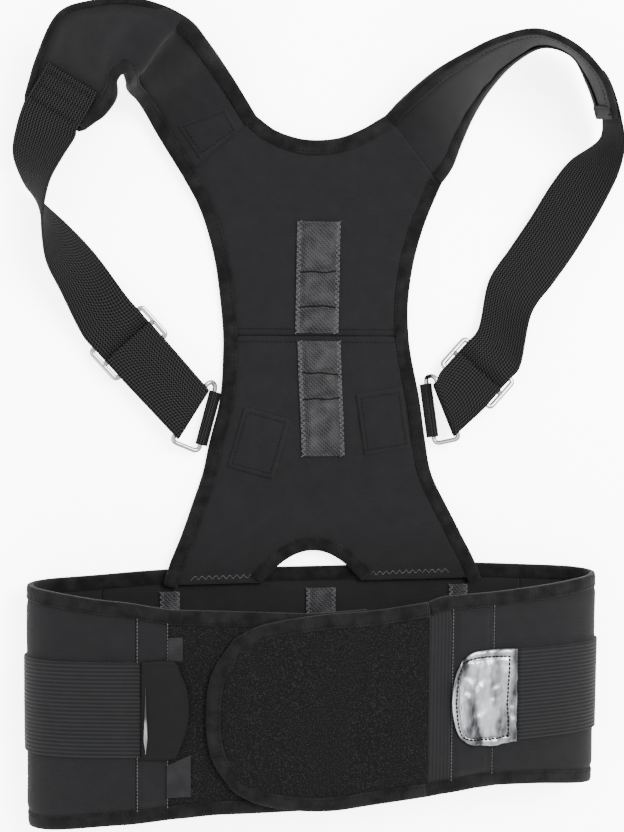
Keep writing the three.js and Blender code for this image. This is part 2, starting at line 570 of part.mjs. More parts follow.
// Pads: places as shares of the loops' reach, head and rise from each root, with the direction and
// tilt of the line from the arm edge to the neck edge in degrees
const LEFT_PAD = [
  { out: 0.137, up: 0.346, rise: 0.24, turn: 35, tilt: 14, wide: 1 },
  { out: 0.209, up: 0.509, rise: 0.36, turn: 36, tilt: 24, wide: 1 },
  { out: 0.269, up: 0.607, rise: 0.55, turn: 37, tilt: 28, wide: 1 },
  { out: 0.339, up: 0.694, rise: 0.77, turn: 46, tilt: 24, wide: 0.98 },
  { out: 0.407, up: 0.731, rise: 0.93, turn: 63, tilt: 10, wide: 0.94 },
  { out: 0.51, up: 0.753, rise: 0.98, turn: 86, tilt: -6, wide: 0.94 },
  { out: 0.616, up: 0.731, rise: 0.96, turn: 106, tilt: -13, wide: 1 },
  { out: 0.699, up: 0.664, rise: 0.9, turn: 122, tilt: -14, wide: 1.06 },
  { out: 0.785, up: 0.411, rise: 0.74, turn: 139, tilt: -17, wide: 0.93 },
  { out: 0.828, up: 0.295, rise: 0.67, turn: 144, tilt: -17, wide: 0.81 },
  { out: 0.869, up: 0.186, rise: 0.6, turn: 149, tilt: -18, wide: 0.7 },
];
const RIGHT_PAD = [
  { out: 0.052, up: 0.127, rise: 0.21, turn: 137, tilt: 18, wide: 1 },
  { out: 0.102, up: 0.294, rise: 0.33, turn: 147, tilt: 33, wide: 1 },
  { out: 0.184, up: 0.5, rise: 0.45, turn: 152, tilt: 46, wide: 1 },
  { out: 0.294, up: 0.699, rise: 0.53, turn: 162, tilt: 56, wide: 1 },
  { out: 0.437, up: 0.891, rise: 0.6, turn: 174, tilt: 62, wide: 0.98 },
  { out: 0.611, up: 1, rise: 0.655, turn: 186, tilt: 66, wide: 0.97 },
  { out: 0.794, up: 0.897, rise: 0.655, turn: 197, tilt: 70, wide: 0.93 },
  { out: 0.917, up: 0.656, rise: 0.62, turn: 216, tilt: 78, wide: 0.86 },
  { out: 0.974, up: 0.46, rise: 0.57, turn: 225, tilt: 80, wide: 0.76 },
  { out: 1, up: 0.324, rise: 0.52, turn: 244, tilt: 81, wide: 0.69 },
];
// Free webbing: down is the share of the way from the root to the ring
const LEFT_WEB = [
  { out: 0.906, down: -0.02, rise: 0.6, turn: 168, tilt: -18 },
  { out: 0.949, down: 0.06, rise: 0.52, turn: 172, tilt: -35 },
  { out: 0.969, down: 0.133, rise: 0.465, turn: 159, tilt: -55 },
  { out: 0.963, down: 0.202, rise: 0.41, turn: 134, tilt: -64 },
  { out: 0.928, down: 0.27, rise: 0.35, turn: 90, tilt: -64 },
  { out: 0.857, down: 0.371, rise: 0.27, turn: 62, tilt: -44 },
  { out: 0.752, down: 0.476, rise: 0.21, turn: 49, tilt: -31 },
];
const RIGHT_WEB = [
  { out: 1.045, down: -0.05, rise: 0.47, turn: -75, tilt: 78 },
  { out: 0.964, down: 0.048, rise: 0.38, turn: -19, tilt: 48 },
  { out: 0.894, down: 0.15, rise: 0.29, turn: -17, tilt: 20 },
  { out: 0.767, down: 0.318, rise: 0.22, turn: -36, tilt: 14 },
  { out: 0.649, down: 0.441, rise: 0.23, turn: -41, tilt: 24 },
  { out: 0.533, down: 0.56, rise: 0.25, turn: -42, tilt: 32 },
];
// Hardware: anchor and slider heights as shares, angles in degrees; gap is in ring lengths
const SIDES = {
  left: { sign: -1, pad: LEFT_PAD, web: LEFT_WEB, side: leftSide, anchor: 0.76, bar: 58, ringTilt: 15,
    slider: { gap: 1.28, turn: 132, bar: 50, tilt: 0, rise: 0.147 }, arm: leftCorner, neck: NECK[0] },
  right: { sign: 1, pad: RIGHT_PAD, web: RIGHT_WEB, side: rightSide, anchor: 0.783, bar: -67, ringTilt: 42,
    slider: { gap: 0.675, turn: 47, bar: -55, tilt: 12, rise: 0.207 }, arm: rightCorner, neck: NECK.at(-1) },
};
const lineDir = (turn, tilt) => V(Math.cos(deg(turn)) * Math.cos(deg(tilt)),
  Math.sin(deg(turn)) * Math.cos(deg(tilt)), Math.sin(deg(tilt)));

// Grid along a ribbon whose two edges are smooth curves through its stations
function ribbonGrid(stations, shareList, vs) {
  const a = through(stations.map(({ c, e, w }) => c.clone().addScaledVector(e, -w / 2)));
  const b = through(stations.map(({ c, e, w }) => c.clone().addScaledVector(e, w / 2)));
  const longer = (i, j) => Math.max(a(i).distanceTo(a(j)), b(i).distanceTo(b(j)));
  const FINE = 400, run = [0];
  for (let k = 1; k <= FINE; k++) run.push(run[k - 1] + longer((k - 1) / FINE, k / FINE));
  const shares = shareList(run[FINE]);
  return shares.map((u) => {
    let k = 0;
    while (k < FINE - 1 && run[k + 1] < u * run[FINE]) k++;
    const t = (k + (u * run[FINE] - run[k]) / (run[k + 1] - run[k])) / FINE;
    const p = a(t), q = b(t);
    return vs(p.distanceTo(q)).map((v) => p.clone().lerp(q, v));
  });
}
// Flat strap through stations, smooth where they are far apart and straight where they are close
function ribbon(stations, thick) {
  const rows = [];
  const rail = (k) => through(stations.map(({ c, e, w }) => c.clone().addScaledVector(e, (k * w) / 2)));
  const a = rail(-1), b = rail(1);
  const last = stations.length - 1;
  for (let i = 0; i < last; i++) {
    const gap = Math.max(stations[i].c.distanceTo(stations[i + 1].c), 1);
    const parts = Math.max(1, Math.round(gap / WEB_STEP));
    for (let k = 0; k < parts; k++) rows.push((i + k / parts) / last);
  }
  rows.push(1);
  return sheet(rows.map((t) => [a(t), b(t)]), () => [thick / 2, thick / 2]);
}
const WRAP_OUT = 125, WRAP_IN = 115;   // degrees of the anchor loop's round
const SIDES_OF_WIRE = 7, WIRE_BEND = 4.1, BEND_STEPS = 3;
const BEND_SHARE = 0.4;                // of a short side, the most a bend takes of it
function ring(corners, name) {
  const r = WIRE / 2, path = [];
  const n = corners[2].clone().sub(corners[0]).cross(corners[3].clone().sub(corners[1])).normalize();
  corners.forEach((corner, i) => {
    const from = corners.at(i - 1), to = corners[(i + 1) % 4];
    const leg = (far) => far.clone().sub(corner).setLength(
      Math.min(WIRE_BEND, BEND_SHARE * far.distanceTo(corner))).add(corner);
    const a = leg(from), b = leg(to);
    const bend = new THREE.QuadraticBezierCurve3(a, corner, b);
    for (let k = 0; k <= BEND_STEPS; k++) {
      path.push({ p: bend.getPoint(k / BEND_STEPS), t: bend.getTangent(k / BEND_STEPS) });
    }
  });
  const rings = path.map(({ p, t }) => {
    const o = t.clone().cross(n).normalize(), m = o.clone().cross(t).normalize();
    return [...Array(SIDES_OF_WIRE).keys()].map((k) => {
      const a = (k * 2 * Math.PI) / SIDES_OF_WIRE;
      return p.clone().addScaledVector(o, r * Math.cos(a)).addScaledVector(m, r * Math.sin(a));
    });
  });
  add(name, skin(rings, true), NICKEL);
}
function framed(geometry, x, y, z, origin) {
  return geometry.applyMatrix4(new THREE.Matrix4().makeBasis(x, y, z).setPosition(origin));
}

for (const [name, side] of Object.entries(SIDES)) {
  const { sign } = side, arm = laid(side.arm), neck = laid(side.neck);
  const root = arm.clone().add(neck).multiplyScalar(0.5), rootE = neck.clone().sub(arm);
  const rootT = V(-rootE.y * -sign, rootE.x * -sign).normalize();
  const place = ({ out, up, rise, turn, tilt, wide }) => ({
    c: V(root.x + out * (sign * LOOP_REACH - root.x), root.y + up * LOOP_HEAD, rise * LOOP_RISE),
    e: lineDir(turn, tilt), w: wide * PAD_WIDTH,
  });
  const first = { c: root.clone().addScaledVector(rootT, 3 * CLEAR), e: rootE.clone().normalize(),
    w: rootE.length() };
  const stations = [first, ...side.pad.map(place)];
  const padVs = (width) => lines(width, 2, true, true);
  const padShares = (length) => lines(length, Math.round(length / PAD_STEP), true, true);
  const P = ribbonGrid(stations, padShares, padVs);
  add(`${name}_shoulder_pad`, sheet(P, foam(PAD, P, P[0], [true, true, true, true], PAD_EDGE)), CHARCOAL);
  const rim = [...gridEdge(P, "v0").slice(0, -1), ...gridEdge(P, "u1"),
    ...gridEdge(P, "v1").slice(0, -1).reverse()];
  const tip = P.length - 1, across = P[0].length - 1;
  rim[tip].q = P[tip - 1][1];
  rim[tip + across].q = P[tip - 1][across - 1];
  add(`${name}_pad_binding`, sweep(ruledStations(trim(rim, 4 * CLEAR)), CHANNEL), BINDING);

  // Anchor loop round the ring's inner bar, from the panel's bound edge
  const edgePoint = side.side.getPoint(sideAt(side.side, side.anchor * SEAM_Y));
  const slope = side.side.getTangent(sideAt(side.side, side.anchor * SEAM_Y)).normalize();
  const out = V(sign * slope.y, -sign * slope.x), BAR_Z = BIND_HALF + WIRE / 2 + ANCHOR_THICK;
  const barAt = laid(edgePoint).addScaledVector(out, 3 * CLEAR + TAPE + ANCHOR_LEG);
  barAt.z = BAR_Z;
  const inner = WIRE / 2 + CLEAR, outer = inner + ANCHOR_THICK, slit = CLEAR / 2, leg = ANCHOR_LEG - CLEAR;
  const arc = (r, from, to) => [0, 1, 2, 3, 4, 5, 6].map((k) => {
    const a = deg(mix(from, to, k / 6));
    return [r * Math.cos(a), r * Math.sin(a)];
  });
  const strap = [...arc(outer, WRAP_OUT, -WRAP_OUT), [-leg, -slit - ANCHOR_THICK], [-leg, -slit],
    ...arc(inner, -WRAP_IN, WRAP_IN), [-leg, slit], [-leg, slit + ANCHOR_THICK]];
  const strapAt = (k) => ({ p: barAt.clone().addScaledVector(slope, (k * ANCHOR_WIDTH) / 2),
    n: V(0, 0, 1), e: out });
  add(`${name}_anchor_loop`, sweep([strapAt(-1), strapAt(1)], strap), WEBBING);

  // Ring, tipped up about its inner bar, its far bar turned towards the webbing
  const farDir = lineDir(side.bar, 0);
  const mean = slope.clone().multiplyScalar(Math.sign(slope.dot(farDir))).add(farDir);
  const ringOut = V(mean.y, -mean.x).normalize();
  if (ringOut.dot(out) < 0) ringOut.negate();
  ringOut.multiplyScalar(Math.cos(deg(side.ringTilt))).add(V(0, 0, Math.sin(deg(side.ringTilt))));
  const farBar = barAt.clone().addScaledVector(ringOut, RING_WIDTH);
  if (slope.dot(farDir) < 0) farDir.negate();
  const end = (c, d, k) => c.clone().addScaledVector(d, (k * RING_LENGTH) / 2);
  const corners = [end(barAt, slope, -1), end(barAt, slope, 1), end(farBar, farDir, 1),
    end(farBar, farDir, -1)];
  ring(corners, `${name}_ring`);

  // Slider on the webbing, a frame with two slots
  const { slider } = side;
  const hub = farBar.clone().add(lineDir(slider.turn, 0).multiplyScalar(slider.gap * RING_LENGTH));
  hub.z = slider.rise * LOOP_RISE;
  const run = farBar.clone().sub(hub), runLength = run.length();
  run.normalize();
  const barLine = lineDir(slider.bar, slider.tilt), up = V(0, 0);
  barLine.addScaledVector(run, -barLine.dot(run)).normalize();
  up.crossVectors(barLine, run).normalize();
  if (up.z < 0) up.negate();
  const x = run.clone().cross(up).normalize();
  const plate = new THREE.Shape();
  const L = SLIDER_LENGTH / 2, H = SLIDER_WIDTH / 2, r = PLATE_CORNER;
  plate.moveTo(-L + r, -H).lineTo(L - r, -H).absarc(L - r, -H + r, r, -Math.PI / 2, 0, false)
    .lineTo(L, H - r).absarc(L - r, H - r, r, 0, Math.PI / 2, false)
    .lineTo(-L + r, H).absarc(-L + r, H - r, r, Math.PI / 2, Math.PI, false)
    .lineTo(-L, -H + r).absarc(-L + r, -H + r, r, Math.PI, 1.5 * Math.PI, false);
  const slot = (H * 2 - 3 * SLIDER_BAR) / 2, long = WEB_WIDTH / 2 + SLOT_SPARE;
  for (const y0 of [-H + SLIDER_BAR, SLIDER_BAR / 2]) {
    const hole = new THREE.Path();
    hole.moveTo(-long, y0).lineTo(-long, y0 + slot).lineTo(long, y0 + slot).lineTo(long, y0).closePath();
    plate.holes.push(hole);
  }
  const frameGeometry = new THREE.ExtrudeGeometry(plate, { depth: SLIDER_THICK - 2 * PLATE_BEVEL,
    curveSegments: 3, bevelEnabled: true, bevelSize: PLATE_BEVEL, bevelThickness: PLATE_BEVEL,
    bevelOffset: -PLATE_BEVEL, bevelSegments: 1 });
  frameGeometry.translate(0, 0, PLATE_BEVEL - SLIDER_THICK / 2);
  add(`${name}_slider`, framed(frameGeometry, x, run, up, hub), NICKEL);

  // Webbing: sewn on the pad, through the slider, round the ring's far bar and back to the slider
  const list = [];
  const N = gridNormals(P), lapRows = P.length - 1;
  const padMid = (i) => P[i][0].clone().add(P[i].at(-1)).multiplyScalar(0.5);
  let sewn = 0, from = lapRows;
  while (sewn < WEB_LAP) sewn += padMid(from).distanceTo(padMid(--from));
  const square = P[lapRows].at(-1).clone().sub(P[lapRows][0]).normalize();
  for (let i = from; i <= lapRows; i++) {
    const face = N[i][Math.floor(P[i].length / 2)];
    const e = square.clone().addScaledVector(face, -square.dot(face)).normalize();
    const c = padMid(i).addScaledVector(face, -(BIND_HALF + CLEAR + WEB / 2));
    list.push({ c, e, w: WEB_WIDTH });
  }
  for (const row of side.web) {
    const { c, e } = place({ ...row, up: 0, wide: 1 });
    c.y = mix(root.y, farBar.y, row.down);
    list.push({ c, e, w: WEB_WIDTH });
  }
  const flip = Math.sign(list.at(-1).e.dot(x)) || 1;
  const at = (a, h) => ({ c: hub.clone().addScaledVector(run, a).addScaledVector(up, h),
    e: x.clone().multiplyScalar(flip), w: WEB_WIDTH });
  const slotMid = (SLIDER_BAR + slot) / 2, bar2 = SLIDER_BAR + slot;
  list.push(at(-bar2 - LEAD, WEAVE), at(-bar2, WEAVE), at(-bar2 + SLIDER_BAR / 2, WEAVE), at(-slotMid, 0),
    at(-SLIDER_BAR / 2, -WEAVE), at(SLIDER_BAR / 2, -WEAVE), at(bar2, -WEAVE), at(bar2 + LEAVE, -WEAVE));
  const turn = WIRE / 2 + 2 * CLEAR + WEB / 2;
  const barAcross = farDir.clone().multiplyScalar(Math.sign(farDir.dot(list.at(-1).e)));
  const round = (a) => ({ c: farBar.clone().addScaledVector(run, turn * Math.sin(deg(a)))
    .addScaledVector(up, turn * Math.cos(deg(a))), e: barAcross, w: WEB_WIDTH });
  const wrap = [180, 150, 120, 90, 60, 30, 0].map(round);
  list.push(...wrap, at(bar2 + LEAVE, WEAVE), at(bar2, WEAVE), at(SLIDER_BAR / 2, WEAVE),
    at(-SLIDER_BAR / 2, WEAVE));
  add(`${name}_webbing`, ribbon(list, WEB), WEBBING);
}

// Pocketed strips of mesh over a row of magnets: pockets raised between pressed creases
function pocketStrip(name, x0, x1, width, y0, y1, z, thick, pockets = POCKETS) {
  const us = [], rise = [];
  const put = (u, h) => { us.push(u); rise.push(h); };
  put(0, CLOTH);
  for (let k = 0; k < pockets; k++) {
    for (const [share, h] of [[0.06, CLOTH], [0.2, thick], [0.8, thick]]) put((k + share) / pockets, h);
  }
  put(1, CLOTH);
  const vs = [0, 0.12, 0.28, 0.72, 0.88, 1];
  const P = us.map((u) => vs.map((v) => {
    const y = mix(y0, y1, u);
    return V(mix(x0, x1, u) + (v - 0.5) * width, y, z(y));
  })).reverse();
  const high = [...rise].reverse();
  add(name, sheet(P, (i, j) => [0, j > 1 && j < 4 ? high[i] : CLOTH], CLEAR), PILE);
}
const panelTopZ = (y) => panelZ(y) + PANEL / 2;
// Strips: middles at their two ends as shares of the half waist, ends as shares of the seam's height
const STRIPS = [
  { name: "magnet_strip_upper", x0: -0.02, x1: -0.01, y0: 1.0065, y1: 1.321 },
  { name: "magnet_strip_lower", x0: 0.062, x1: 0.002, y0: 0.657, y1: 0.985 },
];
for (const { name, x0, x1, y0, y1 } of STRIPS) {
  pocketStrip(name, x0 * WAIST_HALF, x1 * WAIST_HALF, MAGNET_WIDTH, y0 * SEAM_Y, y1 * SEAM_Y, panelTopZ,
    MAGNET_THICK);
}
const BACK_STRIP_HALF = BELT_HEIGHT / 2 - REACH - 3, flat = () => FOAM;
const BELT_STRIP_X = 2.9, BELT_STRIP_THICK = 2.4;
pocketStrip("belt_magnet_strip", BELT_STRIP_X, BELT_STRIP_X, BELT_STRIP, -BACK_STRIP_HALF, BACK_STRIP_HALF,
  flat, BELT_STRIP_THICK, 1);
for (const [name, x] of [["back_casing_left", -BACK_CASING], ["back_casing_right", BACK_CASING]]) {
  pocketStrip(name, x, x, BACK_CASING_WIDTH, -BACK_STRIP_HALF, BACK_STRIP_HALF, flat, 2 * CLOTH, 1);
}

// Cloth patches stitched over the anchors' tails and over the roots of the pads
function patch(name, x, y, turn) {
  const us = [-0.5, -0.2, 0.2, 0.5], vs = us, c = Math.cos(deg(turn)), d = Math.sin(deg(turn));
  const P = us.map((u) => vs.map((v) => {
    const a = u * PATCH_WIDTH, b = v * PATCH_HEIGHT, q = y + a * d + b * c;
    return V(x + a * c - b * d, q, panelTopZ(q));
  }));
  add(name, sheet(P, () => [0, CLOTH], CLEAR), CHARCOAL);
}
// Middles as shares of the half waist and the seam's height
patch("anchor_patch_left", -0.645 * WAIST_HALF, 0.696 * SEAM_Y, -16);
patch("anchor_patch_right", 0.727 * WAIST_HALF, 0.756 * SEAM_Y, 8.5);
export default group;
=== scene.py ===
"""Posture corrector: back panel, shoulder pads, webbing loops on nickel hardware, lapped waist belt"""
import math

import bpy
from bpy.props import FloatProperty, FloatVectorProperty, PointerProperty
from mathutils import Matrix, Vector, noise


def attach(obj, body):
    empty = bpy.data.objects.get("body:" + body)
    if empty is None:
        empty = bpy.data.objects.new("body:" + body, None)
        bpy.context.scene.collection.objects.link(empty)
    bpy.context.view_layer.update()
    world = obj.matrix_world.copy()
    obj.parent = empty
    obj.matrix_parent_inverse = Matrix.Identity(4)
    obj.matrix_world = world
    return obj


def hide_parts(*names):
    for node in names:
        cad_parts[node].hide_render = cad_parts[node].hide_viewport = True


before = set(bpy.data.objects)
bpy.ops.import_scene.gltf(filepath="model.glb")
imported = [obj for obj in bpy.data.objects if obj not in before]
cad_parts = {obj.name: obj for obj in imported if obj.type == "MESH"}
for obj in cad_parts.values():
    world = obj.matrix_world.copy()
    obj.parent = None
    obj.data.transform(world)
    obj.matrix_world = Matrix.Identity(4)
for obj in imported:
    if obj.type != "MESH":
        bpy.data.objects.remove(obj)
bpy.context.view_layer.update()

bl_info = {
    "name": "Posture corrector",
    "version": (1, 0, 0),
    "blender": (4, 5, 0),
    "location": "3D View > Sidebar > Brace",
    "description": "Builds a posture corrector in cloth, webbing and nickel around its packed frame",
    "category": "Object",
}

MM = 0.001
FINE = 2.2                     # step between the rows of a cloth's mesh
# Waist belt, in millimetres as every size before the stage's
BELT_HALF, BELT_HEIGHT, BELT_RISE, FOAM = 187.5, 152, 54, 4.7
BACK_SHARE = 0.76              # of the half width, where the back wall is seamed to the sides
FLAP_END, FLAP_SEAM = -77.4, 63.6
TAPE_WIDTH, CASING_WIDTH = 15, 29.5
LEFT_CASING, LEFT_CASING_WIDTH, LEFT_END = -121.5, 19.5, 24
BACK_CASING, BACK_CASING_WIDTH = 98, 13
BAND_WIDTH, BAND_THICK, BAND_ROOT, BAND_STEP = 60, 1.6, 0.945, 0.62
RIGHT_BAND_END, LEFT_BAND_END = 124.5, -118.5
TAB_STEP, TAB_ARC = 0.8, 0.62    # mesh step, and the rounded end's share of a half turn
TAB_GAP, TAB_ROUND, TAB_LENGTH, TAB_HEIGHT, TAB_THICK, LEFT_TAB_LENGTH = 0.4, 16, 46, 62, 2.4, 29
# Bound edges
EDGE, TAPE, REACH, CLEAR = 2, 0.9, 8, 0.35
SHORT_LIP, LIP_RUN = 3.2, 25     # lip of a turned binding, and the run over which it shortens
SEW_IN, SEW_RISE = 1.7, 0.08     # stitches from the tape's lip, and over its face
TAPE_WAVES = ((0.22, 5.5, 3.1), (0.12, 2.3, 7.7))    # height, length and seed of each wave
PAD_TAPE_WAVES = ((0.35, 6, 5.2), (0.15, 2.4, 1.3))
BIND_HALF = EDGE / 2 + CLEAR + TAPE
# Back panel
PANEL, HEM_Y, SEAM_Y, NECK_Y, PRONG_Y, WAIST_HALF = 3.6, 70, 233.6, 359.5, 335, 61.2
PRONG_RISE, NECK_HALF, NECK_DEPTH, PANEL_MID_X = 8, 44, 16, 1
ARCH_HALF, ARCH_HEIGHT, ARCH_X = 35, 22, -3.8
# Shoulder pads, webbing and metalware
PAD_WIDTH, PAD, PAD_EDGE, LOOP_REACH, LOOP_HEAD, LOOP_RISE = 58, 3.6, 1.3, 187, 70, 58
WEB_WIDTH, WEB, WEB_LAP = 38, 1.6, 25
WIRE, RING_LENGTH, RING_WIDTH = 3.2, 46, 13
ANCHOR_WIDTH, ANCHOR_THICK, ANCHOR_LEG = 36, 1.3, 5
WRAP_OUT, WRAP_IN, WIRE_BEND, WIRE_SIDES = 125, 115, 4.1, 20
SLIDER_LENGTH, SLIDER_WIDTH, SLIDER_THICK, SLIDER_BAR = 47, 27, 1.8, 3.4
WEAVE = SLIDER_THICK / 2 + CLEAR + WEB / 2
LEAD, LEAVE = 9, 4
ROOT_LAP = 0.6                 # pads start this far inside the panel's edge
# Pockets and patches
MAGNET_WIDTH, MAGNET_THICK, CLOTH, BELT_STRIP = 29, 3.4, 0.9, 20
PATCH_WIDTH, PATCH_HEIGHT, PATCH_SEAM = 32, 41, 3
RIB_PITCH = 2.5                # of the ribbed elastic and tape
# Threads: pitch, half length and half thickness of a stitch
PANEL_SEW, HEM_SEW, STRIP_SEW = (2.6, 1.0, 0.26), (1.3, 0.75, 0.17), (1.25, 0.8, 0.24)
CREASE_SEW, SEAM_SEW, JOINT_SEW = (1.1, 1.0, 0.55), (0.9, 0.9, 0.5), (0.9, 0.9, 0.45)
CASING_SEW, TAB_SEW = (2.2, 0.9, 0.24), (2.7, 1.25, 0.6)
ROOT_SEW, WEB_SEW = (2.6, 1.0, 0.3), (2.8, 1.1, 0.3)
THREAD_FACES = 6, 5            # of one stitch, round it and along it
# Stage, in metres
FLOOR_HALF, FLOOR_Z = 4.0, -0.0003
FLOOR_GLOW, ROOM_GLOW = 4.0, 3.4    # bring the paper up to the photo's white
LAMPS = (("key", (0.55, 0.75, 1.3), 0.8, 75.0), ("fill", (-0.9, -0.3, 1.2), 1.2, 20.0))
CAMERA_PLACE, CAMERA_SENSOR, CAMERA_LENS = (-0.15910, 0.24278, 0.88417), 36.0, 1349.325 * 36 / 832
CAMERA_AXES = ((0.98487348, 0.0080611, 0.17308738), (0.00415467, 0.99753148, -0.07009769),
               (-0.17322518, 0.06975647, 0.98240881))    # right, up and back
COLOURS = {
    "jersey": "#0D0D0E", "binding": "#040404", "pile": "#060606", "webbing": "#171717",
    "elastic": "#0E0E0F", "mesh": "#19191A", "lining": "#121213", "thread": "#020202",
    # silver_shade: the painted shade between the silver tab's painted reflection streaks
    "light_thread": "#3A3A3B", "nickel": "#77787B", "silver": "#86878A", "silver_shade": "#252527",
    "black": "#0B0B0B", "floor": "#FFFFFF",
}


def linear(hex_colour):
    """sRGB hex to linear RGBA"""
    out = []
    for k in (1, 3, 5):
        c = int(hex_colour[k:k + 2], 16) / 255
        out.append(c / 12.92 if c <= 0.04045 else ((c + 0.055) / 1.055) ** 2.4)
    return (*out, 1.0)


# Curves and small sums
def clamp(x, a=0.0, b=1.0):
    return max(a, min(b, x))


def ease(a, b, x):
    t = clamp((x - a) / (b - a))
    return t * t * (3 - 2 * t)


def mix(a, b, t):
    return a + (b - a) * t


def V(x, y, z=0.0):
    return Vector((x, y, z))


def catmull(points, closed=False):
    """Smooth centripetal curve through the points, read at 0 to 1"""
    n = len(points)

    def at(t):
        t = t % 1.0 if closed else clamp(t)
        f = t * (n if closed else n - 1)
        i = int(math.floor(f))
        w = f - i
        if not closed and i >= n - 1:
            i, w = n - 2, 1.0
        p1, p2 = points[i % n], points[(i + 1) % n]
        p0 = points[(i - 1) % n] if closed or i > 0 else p1 * 2 - p2
        p3 = points[(i + 2) % n] if closed or i + 2 < n else p2 * 2 - p1
        d0, d1, d2 = ((b - a).length ** 0.5 for a, b in ((p0, p1), (p1, p2), (p2, p3)))
        d1 = d1 if d1 > 1e-4 else 1.0
        d0, d2 = (d if d > 1e-4 else d1 for d in (d0, d2))
        a = ((p1 - p0) / d0 - (p2 - p0) / (d0 + d1) + (p2 - p1) / d1) * d1
        b = ((p2 - p1) / d1 - (p3 - p1) / (d1 + d2) + (p3 - p2) / d2) * d1
        return p1 + a * w + (p2 * 3 - p1 * 3 - a * 2 - b) * w * w + (p1 * 2 - p2 * 2 + a + b) * w ** 3
    return at


def column(table, x_key, y_key):
    """Value between the rows of a table, a little eased at each row"""
    def at(x):
        k = 0
        while k < len(table) - 2 and x > table[k + 1][x_key]:
            k += 1
        a, b = table[k], table[k + 1]
        t = ease(a[x_key], b[x_key], x) * 0.35 + 0.65 * clamp((x - a[x_key]) / (b[x_key] - a[x_key]))
        return mix(a[y_key], b[y_key], t)
    return at


def halve(a, b, past):
    """Place between a and b from which past(place) holds, by halving"""
    for _ in range(30):
        m = (a + b) / 2
        a, b = (a, m) if past(m) else (m, b)
    return (a + b) / 2


def steps(length, step=FINE, least=4):
    """Even parts of a length, 0 to 1, none longer than the step"""
    n = max(least, math.ceil(length / step))
    return [i / n for i in range(n + 1)]


# Meshes
def finish(name, points, faces, uvs, material, slot, nodes=(), smooth=True):
    """A mesh object in metres with its own map in millimetres, parented to the root body; the parts of
    model.glb it stands for are hidden
    """
    mesh = bpy.data.meshes.new(name)
    mesh.from_pydata([p * MM for p in points], [], faces)
    layer = mesh.uv_layers.new(name="UVMap")
    for loop in mesh.loops:
        layer.data[loop.index].uv = uvs[loop.vertex_index]
    mesh.validate()
    volume = 0.0
    for p in mesh.polygons:
        vs = [mesh.vertices[k].co for k in p.vertices]
        for k in range(1, len(vs) - 1):
            volume += vs[0].dot(vs[k].cross(vs[k + 1]))
    if volume < 0:
        mesh.flip_normals()
    mesh.polygons.foreach_set("use_smooth", [smooth] * len(mesh.polygons))
    mesh.materials.append(material)
    piece = bpy.data.objects.new(name, mesh)
    bpy.context.collection.objects.link(piece)
    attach(piece, "root")
    if nodes:
        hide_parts(*nodes)
    return piece


def normals(P):
    nu, nv = len(P), len(P[0])
    return [[(P[min(i + 1, nu - 1)][j] - P[max(i - 1, 0)][j])
             .cross(P[i][min(j + 1, nv - 1)] - P[i][max(j - 1, 0)]).normalized()
             for j in range(nv)] for i in range(nu)]


def spans(P):
    """Distances in millimetres along the rows and across the columns"""
    nu, nv = len(P), len(P[0])
    along = [[0.0] * nv for _ in range(nu)]
    across = [[0.0] * nv for _ in range(nu)]
    for i in range(nu):
        for j in range(nv):
            if i:
                along[i][j] = along[i - 1][j] + (P[i][j] - P[i - 1][j]).length
            if j:
                across[i][j] = across[i][j - 1] + (P[i][j] - P[i][j - 1]).length
    return along, across


def sheet(name, P, halves, material, slot, nodes=(), lift=0.0, bend=None, pad=None):
    """Closed sheet over a grid; halves(i, j, u, v, d) gives its depth under and over the grid"""
    N, (A, C) = normals(P), spans(P)
    nu, nv = len(P), len(P[0])
    points, uvs, faces = [], [], []
    for i in range(nu):
        for j in range(nv):
            u, v = A[i][j], C[i][j]
            down, up = halves(i, j, u, v, (u, A[-1][j] - u, v, C[i][-1] - v))
            shift = lift + (bend(P[i][j], u, v) if bend else 0.0)
            points += [P[i][j] + N[i][j] * (shift - down), P[i][j] + N[i][j] * (shift + up)]
            uvs += [(u, v), (u, v)]
    low = lambda i, j: (i * nv + j) * 2
    top = lambda i, j: (i * nv + j) * 2 + 1
    for i in range(nu - 1):
        for j in range(nv - 1):
            faces.append((top(i, j), top(i + 1, j), top(i + 1, j + 1), top(i, j + 1)))
            faces.append((low(i, j), low(i, j + 1), low(i + 1, j + 1), low(i + 1, j)))
        faces.append((low(i, 0), low(i + 1, 0), top(i + 1, 0), top(i, 0)))
        faces.append((top(i, nv - 1), top(i + 1, nv - 1), low(i + 1, nv - 1), low(i, nv - 1)))
    for j in range(nv - 1):
        faces.append((top(0, j), top(0, j + 1), low(0, j + 1), low(0, j)))
        faces.append((low(nu - 1, j), low(nu - 1, j + 1), top(nu - 1, j + 1), top(nu - 1, j)))
    return finish(name, points, faces, uvs, material, slot, nodes)


def tube(name, path, sections, material, slot, nodes=(), closed=False):
    """Skin through one ring of points for each station; sections[i] holds the ring"""
    m, n = len(sections[0]), len(sections)
    points = [p for ring in sections for p in ring]
    uvs, run = [], 0.0
    for i, ring in enumerate(sections):
        run += (path[i] - path[i - 1]).length if i else 0.0
        round_ = 0.0
        for k, p in enumerate(ring):
            round_ += (p - ring[k - 1]).length if k else 0.0
            uvs.append((run, round_))
    faces = []
    for i in range(n if closed else n - 1):
        a, b = i * m, ((i + 1) % n) * m
        for k in range(m):
            q = (k + 1) % m
            faces.append((a + k, a + q, b + q, b + k))
    if not closed:
        faces += [tuple(reversed(range(m))), tuple(range((n - 1) * m, n * m))]
    return finish(name, points, faces, uvs, material, slot, nodes)


